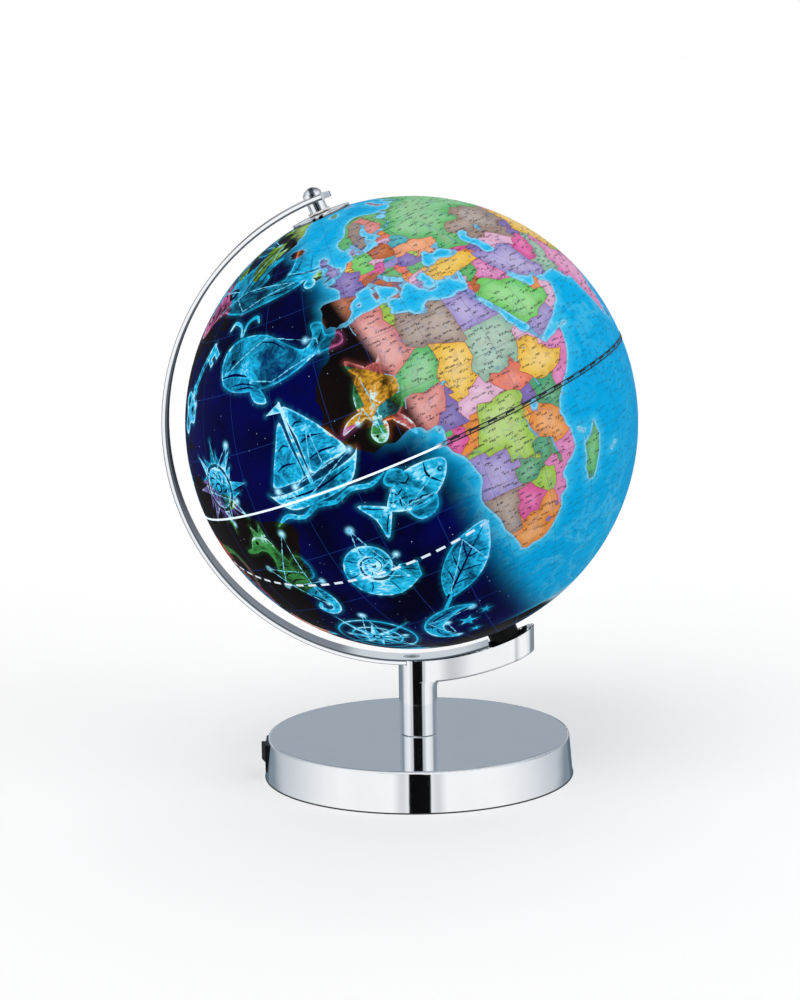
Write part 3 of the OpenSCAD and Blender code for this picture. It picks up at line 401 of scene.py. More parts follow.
# The printed ball: a map by day, and a star chart that glows over the same map by night.
def globe_print():
    mat, net = new_net("globe_print")
    turn = Matrix(AXES.tolist()).transposed().to_euler()
    p = net.local((BALL_X * MM, 0.0, BALL_Z * MM), turn, BALL * MM)
    x, y, z = net.split(p)
    edge = net.ramp(z * 0.5 + 0.5, [(h * 0.5 + 0.5, v) for h, v in DAY_EDGE])
    sway = net.noise(p, 3.0, 3.0) - 0.5
    light = net.vec("DOT_PRODUCT", p, DAY_WAY) - edge + sway * 0.03
    lat = net.math("ARCSINE", z) * DEGREES
    lon = net.math("ARCTAN2", y, x) * DEGREES + FRONT_LON

    def attribute(name, out):
        n = net.put("ShaderNodeAttribute", out=None, attribute_name=name)
        return Val(net, n.outputs[out])
    paint = attribute("paint", "Color")
    land = attribute("paint", "Alpha")
    figure = attribute("figure", "Fac")
    inland = attribute("inland", "Fac")
    shore, glow, spark = net.split(attribute("reaches", "Vector"))
    a, b, c = net.split(attribute("lines_at", "Vector"))
    line = net.least(net.least(a, b), c)

    # Ridges of the sea floor, shelf and the pale haze along the coasts.
    drift = net.put("ShaderNodeTexNoise", {"Vector": p, "Scale": 2.5, "Detail": 3.0}, 1)
    warp = net.vec("ADD", p, net.vec("SCALE", drift, scale=0.35))
    ridge = net.noise(warp, 4.5, 6.0, 0.6)
    crest = net.ease(abs(ridge - 0.5), 0.0, 0.05, 1.0, 0.0)
    deep = net.mix(net.noise(p, 2.0, 4.0), rgb(0, 154, 220), rgb(0, 180, 232))
    sea = net.mix(crest * net.ease(net.noise(p, 1.7), 0.4, 0.65, 0.08, 0.5), deep, rgb(96, 200, 234))
    sea = net.mix(net.ease(net.noise(p, 14.0, 5.0, 0.65), 0.5, 0.75, 0.0, 0.2), sea, rgb(36, 188, 238))
    sea = net.mix(net.ease(shore + (net.noise(p, 9.0, 4.0) - 0.5) * 4.0, 0.6, 6.0, 0.5, 0.0), sea, rgb(70, 200, 238))
    sea = net.mix(net.ease(shore + (net.noise(p, 30.0, 3.0) - 0.5) * 1.2, 0.0, 1.6, 0.6, 0.0), sea,
                  rgb(176, 226, 242))
    # The land: its flat colour, shaded hills and a paler edge.
    hills = net.noise(warp, 22.0, 6.0, 0.65)
    ground = net.mix(net.ease(hills, 0.45, 0.72, 0.0, 0.32), paint, rgb(120, 92, 70))
    ground = net.mix(net.ease(net.noise(p, 7.0, 4.0), 0.4, 0.7, 0.0, 0.08), ground, rgb(255, 246, 226))
    ground = net.mix(net.ease(inland, 0.0, 3.2, 0.26, 0.0), ground, net.mix(1.0, paint, paint, "MULTIPLY"))
    ground = net.mix(net.ease(inland, 1.0, 6.0, 0.0, 0.12), ground, (1, 1, 1, 1))
    river = net.ease(abs(net.noise(warp, 6.5, 4.0, 0.55) - 0.47), 0.0, 0.006, 0.6, 0.0)
    ground = net.mix(river, ground, rgb(60, 120, 190))
    towns = net.put("ShaderNodeTexVoronoi", {"Vector": p, "Scale": 26.0, "Randomness": 1.0}, None)
    town = net.ease(Val(net, towns.outputs["Distance"]), 0.075, 0.1, 0.75, 0.0)
    pick, long, _ = net.split(Val(net, towns.outputs["Color"]))
    ground = net.mix(town * (pick > 0.35), ground, rgb(60, 42, 50))
    chart = net.mix(land, sea, ground)
    # Small hachures that run east beside the towns.
    east = net.vec("NORMALIZE", net.join(-y, x, 0.0))
    off = net.vec("SUBTRACT", p, Val(net, towns.outputs["Position"]))
    run = net.vec("DOT_PRODUCT", off, east) * BALL
    rise = net.vec("DOT_PRODUCT", off, net.vec("CROSS_PRODUCT", p, east)) * BALL - 0.9
    broken = net.noise(p, 190.0, 1.0) > 0.47
    mark = (abs(rise) < 0.48) * (abs(run) < 0.9 + long * 2.2) * broken * (pick > 0.2)
    mark = mark * net.ease(land, 0.0, 1.0, 0.35, 0.72)
    chart = net.mix(mark, chart, rgb(34, 34, 46))
    # Thin lines: the net of meridians and parallels, and the borders.
    one_degree = 1.773
    round_by = net.math("COSINE", net.math("ARCSINE", z))
    mer = abs(lon % 15.0 - 7.5) * -1.0 + 7.5
    par = abs(lat % 15.0 - 7.5) * -1.0 + 7.5
    mer_mm = mer * round_by * one_degree
    par_mm = par * one_degree
    net_line = net.ease(net.least(mer_mm + (abs(lat) > 80.0) * 9.0, par_mm), 0.1, 0.22, 0.4, 0.0)
    chart = net.mix(net_line, chart, rgb(40, 70, 120))
    border = net.ease(line, 0.1, 0.24, 0.72, 0.0)
    chart = net.mix(border, chart, rgb(150, 70, 74))
    coast = net.ease(shore, 0.05, 0.3, 0.45, 0.0)
    chart = net.mix(coast, chart, rgb(30, 92, 150))
    # The land ends sharply at nightfall; the sea fades slowly through deep blue.
    wet = 1.0 - land
    day = net.ease(light, wet * -0.15 - 0.03, 0.035 + wet * 0.02)
    day = day * (day * wet + land)

    # The night: a dark sky that lets the land through, stars, figures and their thin lines.
    cloud = net.noise(p, 2.2, 5.0, 0.6)
    sky = net.mix(net.ease(cloud, 0.35, 0.7), rgb(3, 4, 30), rgb(4, 8, 84))
    dim = net.mix(net.ease(cloud, 0.3, 0.7), rgb(9, 7, 10), rgb(24, 16, 14))
    night = net.mix(land, sky, dim)
    tint_sea = rgb(30, 190, 235)
    vivid = net.mix(0.75, paint, paint, "MULTIPLY")
    hue = net.mix(land, tint_sea, vivid)
    # A figure is bright at its rim and dim and cloudy within, like an engraving on glass.
    has = figure > -0.5
    lit = net.most(figure, 0.0)
    depth = -glow
    flame = net.noise(warp, 7.0, 5.0, 0.6)
    hatch = net.noise(net.vec("MULTIPLY", warp, (30.0, 9.0, 30.0)), 3.0, 2.0)
    swell = net.ease(net.noise(p, 1.6, 2.0), 0.35, 0.6, 0.6, 1.3)
    inner = net.ease(flame, 0.3, 0.68, 0.2, 1.05) * net.ease(hatch, 0.35, 0.6, 0.6, 1.1)
    rim = net.ease(depth, 0.1, 1.6, 0.55, 0.0)
    power = net.least(lit * (inner + rim) * swell, 1.4)
    body = net.mix(net.ease(power, 0.0, 0.9), (0, 0, 0, 1), hue)
    body = net.mix(net.ease(power, 0.8, 1.3, 0.0, 0.85), body, rgb(200, 248, 255))
    halo = net.ease(glow, 0.0, 3.2, 0.36, 0.0)
    shine = net.mix(halo * halo * swell, (0, 0, 0, 1), hue)
    flare = net.ease(spark, 0.0, 2.2, 0.8, 0.0)
    shine = net.mix(flare * flare, shine, rgb(150, 225, 255))
    specks = net.put("ShaderNodeTexVoronoi", {"Vector": p, "Scale": 34.0, "Randomness": 1.0}, None)
    speck = net.ease(Val(net, specks.outputs["Distance"]), 0.03, 0.09, 1.0, 0.0)
    many, kind, _ = net.split(Val(net, specks.outputs["Color"]))
    shine = net.mix(speck * (many > 0.55) * (0.35 + kind * 0.65), shine, rgb(190, 225, 255))
    star_line = net.ease(line, 0.2, 0.4, 0.95, 0.0)
    near = net.ease(shore, 0.0, 5.0, 0.55, 0.0) * wet * net.ease(light, -0.26, 0.02)
    shine = net.mix(near, shine, rgb(0, 150, 190))
    thin = net.ease(net.least(mer_mm + (abs(lat) > 80.0) * 9.0, par_mm), 0.06, 0.2, 0.3, 0.0)
    shine = net.mix(thin, shine, rgb(40, 90, 190))
    # The sun's yearly way: a dashed light line.
    way = net.math("ARCSINE", net.vec("DOT_PRODUCT", p, (0.402, -0.112, 0.909))) * BALL
    u = net.vec("DOT_PRODUCT", p, (0.268, 0.963, 0.0))
    v = net.vec("DOT_PRODUCT", p, (-0.875, 0.2437, 0.417))
    along = net.math("ARCTAN2", v, u) * BALL
    dash = net.ease(abs(way), 0.5, 0.72, 1.0, 0.0) * (along % 7.093 < 4.3)
    shine = net.mix(has, shine, body)
    shine = net.mix(star_line, shine, rgb(120, 215, 245))
    shine = net.mix(dash, shine, rgb(225, 240, 250))
    dark = 1.0 - day
    base = net.mix(day, night, chart)
    light_out = net.mix(dark, (0, 0, 0, 1), shine)
    fine = net.noise(p, 60.0, 3.0)
    net.surface(Base_Color=base, Emission_Color=light_out, Emission_Strength=1.0,
                Roughness=0.42 + fine * 0.08, IOR=1.15, Specular_IOR_Level=0.1,
                Normal=net.bump(hills * land, 0.12, 0.0004))
    return mat


# The tape round the equator: a degree scale, dark on light by day and light on dark by night.
def equator_print():
    mat, net = new_net("equator_print")
    lean = math.radians(22.5)
    axes = [(0, -1, 0), (math.cos(lean), 0, math.sin(lean)), (-math.sin(lean), 0, math.cos(lean))]
    p = net.local((-0.0011, 0.0, 0.16185), Matrix(axes).transposed().to_euler(), 0.001)
    x, y, z = net.split(p)
    lon = net.math("ARCTAN2", y, x) * DEGREES + FRONT_LON
    day = net.ease(net.vec("DOT_PRODUCT", net.vec("NORMALIZE", p), DAY_WAY) - 0.2, -0.02, 0.03)
    rails = net.ease(abs(abs(z) - 0.8), 0.16, 0.26, 1.0, 0.0)
    blocks = (z > 0.0) * (z < 0.8) * (lon % 5.0 < 2.5)
    ticks = (abs(z) < 0.8) * (lon % 5.0 < 0.22)
    ink = net.most(net.most(rails, blocks), ticks)
    stripe = net.ease(abs(z), 0.32, 0.52, 1.0, 0.0)
    cloud = net.noise(p, 0.4)
    out = net.mix(day, rgb(226, 240, 250), net.mix(cloud, rgb(18, 22, 30), rgb(34, 42, 54)))
    glow = net.mix(1.0 - day, (0, 0, 0, 1), rgb(150, 162, 172))
    net.surface(Base_Color=out, Emission_Color=glow, Emission_Strength=1.0, Roughness=0.4 + cloud * 0.08,
                Specular_IOR_Level=0.2, Alpha=day * ink + (1.0 - day) * stripe)
    return mat


MATERIALS["globe_print"] = globe_print()
MATERIALS["equator_print"] = equator_print()
MATERIALS["globe_inside"] = plastic("globe_inside", rgb(236, 236, 232), rgb(244, 244, 240), 0.5)


# Coasts as longitude and latitude, in whole and half degrees, round each piece of land.
# A longitude past 180 goes on eastwards.
AFRICA = (
    "-6 35.8, -5.3 35.9, -3 35.3, -1 35.7, 1 36.5, 3 36.9, 5 36.8, 7.5 37, 9.8 37.3, 11 37, 10.5 36.2,"
    "11.1 35.2, 10.2 34.2, 11.2 33.3, 13 32.9, 15.2 32.3, 15.8 31.3, 18 30.5, 19.2 30.3, 20 31, 20 32.2,"
    "21.5 32.9, 23.2 32.2, 25 31.6, 27 31.2, 29 30.9, 30 31.4, 31 31.6, 32.3 31.2, 32.5 29.9, 33 28.6,"
    "33.8 27.2, 35 25, 35.5 24, 36.8 22, 37.2 20.8, 37.3 19.2, 38.5 18, 39.4 15.6, 41.2 14.6, 42.8 12.7,"
    "43.3 11.6, 44.5 10.4, 47 11.1, 49 11.3, 51.3 11.9, 51 10.4, 50 8, 48.6 5.5, 47 3.6, 45.4 2, 43.5 0.5,"
    "42.5 -0.5, 41 -2, 40.2 -2.7, 39.6 -4.2, 38.8 -6, 39.5 -7, 39.6 -9, 40.5 -10.5, 40.6 -13, 40.7 -15,"
    "39.3 -16.6, 37 -17.9, 35 -19.7, 34.7 -20.6, 35.5 -22, 35.3 -24, 32.9 -25.3, 32.9 -27, 32.5 -28.4,"
    "31 -30, 29 -32, 27.5 -33.2, 25.7 -34, 22 -34.1, 20 -34.8, 18.4 -34.2, 18 -32.5, 17 -30, 16.4 -28.6,"
    "15.1 -26.5, 14.5 -23, 13.4 -20.8, 12 -18, 11.8 -16.2, 12.5 -14, 13.5 -12.5, 13.8 -11, 13.1 -9,"
    "12.3 -6.1, 11.8 -4.8, 9.6 -2.6, 8.8 -0.7, 9.4 0.5, 9.7 2.4, 9.6 4, 8.5 4.7, 7 4.4, 5.9 4.4, 5 5.8,"
    "3.5 6.4, 1.2 6.1, -1 5.1, -2 4.8, -4 5.3, -6 4.9, -7.5 4.4, -9.4 5.6, -11.2 6.8, -13 8.2, -13.7 9.7,"
    "-15 10.9, -16.7 12.5, -16.7 13.6, -17.5 14.7, -16.5 16, -16.1 18.2, -16.3 19.5, -17 21, -16.1 23.5,"
    "-14.9 25.5, -14.4 26.3, -13 27.8, -11.3 28.5, -9.9 29.8, -9.8 31.4, -8.4 33.3, -6.8 34.1")
EURASIA = (
    "32.5 29.9, 33.2 28.5, 34.2 27.8, 34.9 29.5, 34.7 28.1, 35.6 27.4, 36.6 26, 37.4 24.3, 39 22.2, 40 20.2,"
    "41.4 18, 42.6 16.5, 42.8 14.8, 43.4 12.7, 45 12.8, 48 14, 51 15.2, 52.2 15.7, 54 17, 56.5 18, 57.8 19.4,"
    "58.7 20.6, 59.8 22.5, 58.5 23.6, 57 24.2, 56.3 26.2, 55 25.1, 54 24.2, 51.7 24.2, 51.6 25.4, 51.1 26.1,"
    "50.8 24.9, 50.1 26.7, 48.8 28, 48 29.6, 49 30.4, 50.2 30, 51 28.8, 52.6 27.6, 54.5 26.6, 56.3 27.1,"
    "57.1 26.6, 57.3 25.8, 59 25.4, 61.5 25.1, 64 25.3, 66.6 25.2, 67.2 24.4, 68.5 23.6, 70.2 22.8, 69 22.3,"
    "70.6 20.9, 72.2 21.3, 72.8 20, 72.9 18.9, 73.4 16.5, 74.5 14, 75.5 11.8, 76.3 10, 77.5 8.1, 78.2 9,"
    "79.4 10.2, 80 12, 80.2 13.6, 80.2 15.5, 82 16.6, 84.4 18.3, 86.5 20, 87 21.5, 89 21.8, 90.6 22.3,"
    "91.8 22.3, 92.6 20.4, 94 18.5, 94.4 16.1, 95.6 15.8, 97 17, 97.7 15.5, 98.6 12.5, 98.4 9.5, 98.4 8,"
    "100.2 6.3, 101.2 3.3, 103.5 1.4, 104.2 1.6, 103.4 4.5, 102.2 6.2, 100.5 7.3, 99.3 9.3, 99.8 11.6,"
    "100 13.4, 101 12.7, 102.5 12, 103.5 10.7, 105 10, 104.8 8.6, 106.8 10.3, 109 11.5, 109.2 13.4, 108.2 16,"
    "106 18.5, 105.8 19.5, 107 21, 108.3 21.6, 109.8 21.4, 110 20.4, 110.8 21.3, 113.7 22.3, 116.5 23,"
    "118.5 24.6, 120 27, 122 29.8, 121.8 31.5, 120.4 34, 119.4 35.2, 120.8 36.5, 122.5 37.2, 119.6 37.3,"
    "118 39.1, 121 40.8, 121.5 39, 124.3 40, 125.2 39.2, 125 38, 126.7 37.3, 126.4 34.7, 129 35.2,"
    "129.4 37, 127.6 39.5, 129.7 41, 131.2 42.9, 133.2 42.8, 136 45, 138.4 46.8, 140.3 48.5, 141 52.5,"
    "139 54.2, 135.4 54.7, 138 56.4, 143 59.3, 149 59.5, 153 59.1, 155 59.4, 157 61.6, 160 61.8, 163.5 62.5,"
    "162.6 60.6, 160 59.6, 157 57.8, 155.7 54.5, 156.6 51, 158.5 53, 160 55, 162.5 56.2, 163.3 58, 166 60,"
    "170 60, 173.5 61.8, 177.5 62.6, 179.2 62.8, 178 64.6, 183 65.4, 187 64.4, 190.2 66, 185 67.3, 180 69,"
    "176 69.8, 170.5 69.8, 161 69.6, 160 70.6, 152 71, 145 72.3, 140 72.5, 133 71.6, 129.5 71, 127 73.4,"
    "120 73, 113.5 73.6, 107 73.3, 112 76, 104 77.7, 98 76.3, 88 75.2, 81 73.6, 81.5 72, 76 72.8, 74.8 71,"
    "73.6 68.3, 72 71.2, 70 73.2, 67 71.5, 68 68.7, 64.5 69.3, 60.5 69.7, 54 68.3, 48 67.6, 44 68.5,"
    "44.2 66.2, 40.5 66, 40 64.6, 37.5 64, 34.8 64.5, 33 66.7, 40.5 66.8, 41 67.6, 36 69, 31 70.3, 28 71,"
    "25.7 71.1, 20 70, 16 68.8, 14 67.3, 12.5 65.5, 10.5 64, 6 62.3, 5 61, 5.4 59.4, 6.6 58.1, 8.6 58.4,"
    "10.5 59.5, 11.3 58.8, 12.6 56.5, 13 55.4, 14.3 55.6, 16.3 56.5, 17 58.6, 18.8 59.8, 17.2 61, 18 62.7,"
    "21.5 64.5, 22.2 65.7, 25 65.2, 22 63.2, 21.3 61, 22.6 60, 25 60.2, 28 60.5, 30 60, 28 59.5, 24.5 59.4,"
    "23.6 58.7, 24.4 58.1, 24.2 57.1, 22.6 57.7, 21 56.8, 21 55.3, 19.6 54.5, 18.5 54.8, 14.3 53.9, 12.5 54.4,"
    "11 54, 10 54.8, 10 55.6, 10.6 57.6, 8.2 56.8, 8.2 55.5, 8.8 54, 7 53.5, 4.8 53, 4 51.8, 2.5 51.1,"
    "1.6 50.5, 0.2 49.6, -1.4 49.6, -1.5 48.6, -4.7 48.5, -2.5 47.3, -1.2 46, -1.3 44.5, -1.8 43.4, -4 43.5,"
    "-8 43.7, -9.2 43, -8.8 41.5, -9.4 38.8, -8.9 37, -7.4 37.1, -6.3 36.6, -5.5 36.1, -4.4 36.7, -2.2 36.8,"
    "-0.7 37.7, 0.1 38.8, -0.3 39.6, 0.9 41, 3.2 42, 3.1 43.2, 4.9 43.4, 7.5 43.8, 8.9 44.4, 10.3 43.4,"
    "12.2 41.8, 14 40.9, 15.8 39.8, 16.1 38.3, 15.7 37.9, 17 39, 16.6 39.8, 17.1 40.5, 18.4 39.9, 18 40.7,"
    "16 41.7, 14.2 42.4, 13.5 43.6, 12.3 44.5, 12.4 45.4, 13.7 45.6, 13.8 44.9, 15 44.5, 15.8 43.6, 17.6 42.8,"
    "19.3 41.9, 19.4 40.4, 20.3 39.2, 21.2 38.3, 21.6 37, 22.6 36.5, 23.2 37.5, 22.9 38, 24 37.7, 22.9 39.2,"
    "22.9 40.5, 24.2 40.2, 24 40.8, 26 40.8, 26.2 40.1, 26.3 39.4, 26.8 38.5, 27.3 37.2, 28.2 36.7, 30 36.3,"
    "30.8 36.9, 32.5 36.1, 34 36.3, 36 36.8, 35.8 35.5, 35.3 33.5, 34.8 32.3, 34.3 31.3, 33.2 31.1, 32.3 31.2")
NORTH_AMERICA = (
    "-168 65.6, -162 66.5, -166.5 68.3, -162 69.8, -156.5 71.3, -150 70.5, -141 69.6, -135 69.3, -128 70.3,"
    "-122 69.7, -115 68, -108 68, -102 67.8, -96 68.2, -94.5 71.8, -92 69.5, -87 68, -85 69.7, -81.5 69.2,"
    "-82 67, -86 66.2, -88 64.4, -93 62, -94.5 60, -94.3 58.7, -92.5 57, -88 56.5, -82.3 55.1, -82 53,"
    "-80 51.3, -78.8 52.5, -79.3 54.6, -76.7 56.6, -78.2 59, -77.6 62.4, -73.7 62.3, -70 61, -69.5 59,"
    "-66 58.8, -64.5 60.3, -61.6 57, -58 54.7, -55.8 52.6, -57.2 51.4, -60 50.2, -66.5 50.2, -69.5 48.2,"
    "-68 48.7, -64.5 49, -65.2 47.4, -64 46.2, -61.6 45.8, -60.2 46.8, -61.5 45.2, -65.5 43.6, -66 44.4,"
    "-64.8 45.4, -67.2 44.7, -70 43.7, -70.8 42.3, -70 41.8, -72 41.2, -74 40.6, -75 38.6, -76 37, -75.6 35.3,"
    "-77.6 34.2, -79.4 33.1, -81.2 31.5, -81.3 29.8, -80 27, -80.4 25.3, -81.8 26, -82.8 27.8, -84 30,"
    "-87 30.4, -89.4 30.2, -89.3 29.1, -91.6 29.4, -94.8 29.3, -97.2 27.8, -97.7 24.5, -97.8 22.3, -96.2 19.2,"
    "-94.5 18.2, -91.5 18.5, -90.4 20.6, -87 21.5, -87.6 19.4, -88.3 17.4, -88.8 15.8, -86 15.9, -83.2 15,"
    "-83.7 11.5, -82 9.1, -79.8 9.5, -77.3 8.6, -77.9 7.2, -78.5 8.6, -79.6 8.9, -80.3 7.4, -82.8 8.2,"
    "-85.6 10.2, -87.6 12.8, -91.6 14, -94 16.1, -96.5 15.7, -99.8 16.8, -103.6 18.4, -105.5 20.3, -106.4 23.2,"
    "-109.4 25.7, -111 28, -112.8 31, -114.7 31.7, -112.8 28.6, -111 25.8, -109.5 23.1, -112.2 25.2,"
    "-114.2 27.6, -114.8 29, -116.2 30.8, -117.2 32.6, -118.5 34, -120.6 34.6, -122.4 37.3, -124.2 40.2,"
    "-124.2 43, -124 46.2, -124.6 48.3, -122.4 47.4, -123 49.2, -127 50.9, -130 54.4, -133.6 57.6, -137 58.8,"
    "-141 60.1, -146 60.8, -149.6 61.2, -152 59.3, -154.2 58, -158 56.3, -163.5 54.8, -160.5 56.1, -157.5 58.5,"
    "-162 58.8, -162.6 60.1, -166 61.7, -164.5 63, -161 63.6, -161.4 64.5, -166 64.5")
SOUTH_AMERICA = (
    "-77.3 8.6, -75.5 10.6, -74 11.3, -71.7 12.3, -71.5 10.9, -70 12, -68 10.6, -64.6 10.2, -62 10.6,"
    "-60.8 8.6, -57.6 6.5, -54 5.8, -51.7 4.2, -50 1.2, -50.5 -0.3, -48 -0.8, -44.3 -2.6, -41 -2.9, -38.5 -3.8,"
    "-35.3 -5.2, -34.9 -8, -37 -11, -38.6 -13, -39 -17.4, -40.8 -21, -42 -22.9, -44.6 -23.2, -46.5 -24.1,"
    "-48.6 -26, -48.7 -28.5, -50.6 -30.7, -53.5 -34, -55.6 -34.8, -58.4 -34, -57 -36.4, -58 -38.2, -62.2 -38.9,"
    "-62.4 -40.8, -65 -41, -64.4 -42.8, -65.6 -45, -67.4 -46.3, -65.8 -47.8, -69 -50.5, -68.4 -52.4,"
    "-65.4 -54.6, -68.5 -55.6, -72 -53.8, -75 -51.5, -75.5 -47.5, -73 -44.5, -73.9 -42, -73.4 -39.5,"
    "-73.2 -37, -71.6 -33, -71.5 -30, -70.6 -25.5, -70.2 -20, -70.5 -18.3, -72.6 -17, -76.3 -13.9, -77.3 -12,"
    "-79.5 -8, -81.3 -5.5, -80.2 -3.3, -81 -2.2, -80 0.5, -78.8 1.7, -77.3 4, -77.6 6.4, -77.9 7.2")
AUSTRALIA = (
    "114 -22, 113.5 -25.2, 114.6 -29, 115.7 -32, 115.1 -34.3, 118 -35, 120 -33.9, 124 -33, 126 -32.2,"
    "131 -31.5, 134.2 -32.8, 135.8 -34.8, 137.8 -32.7, 137.4 -35.2, 138.5 -34.8, 139.6 -36.8, 141 -38,"
    "143.5 -38.8, 145 -38, 146.4 -39.1, 150 -37.4, 151.2 -34, 153 -31, 153.6 -28.2, 153 -25, 151 -23.5,"
    "149 -20.5, 146.4 -19, 145.5 -15.6, 143.6 -14.2, 142.5 -10.8, 141.7 -13.5, 140.8 -17.5, 139 -17.3,"
    "136.6 -15.7, 135.5 -14.8, 136.8 -12.3, 133 -11.5, 130.8 -12.5, 129.6 -14.9, 126.8 -14, 124 -16.2,"
    "122.2 -18, 119 -20, 116.8 -20.6")
ANTARCTICA = (
    "-57 -63.3, -61 -66, -61 -70, -61 -75, -45 -78, -30 -76.5, -20 -73.5, -10 -71, 0 -70, 15 -69.8, 30 -69.5,"
    "40 -69, 50 -66.8, 57 -66.8, 68 -68, 73 -69.8, 80 -67.8, 90 -66.5, 105 -66, 115 -66.8, 130 -66, 142 -66.8,"
    "155 -69, 165 -70.7, 170 -72, 165 -76, 166 -78, 180 -78.3, 196 -78.5, 203 -77, 215 -75.5, 235 -73.8,"
    "247 -74.2, 260 -72.5, 275 -73, 286 -71, 293 -68, 297 -65")
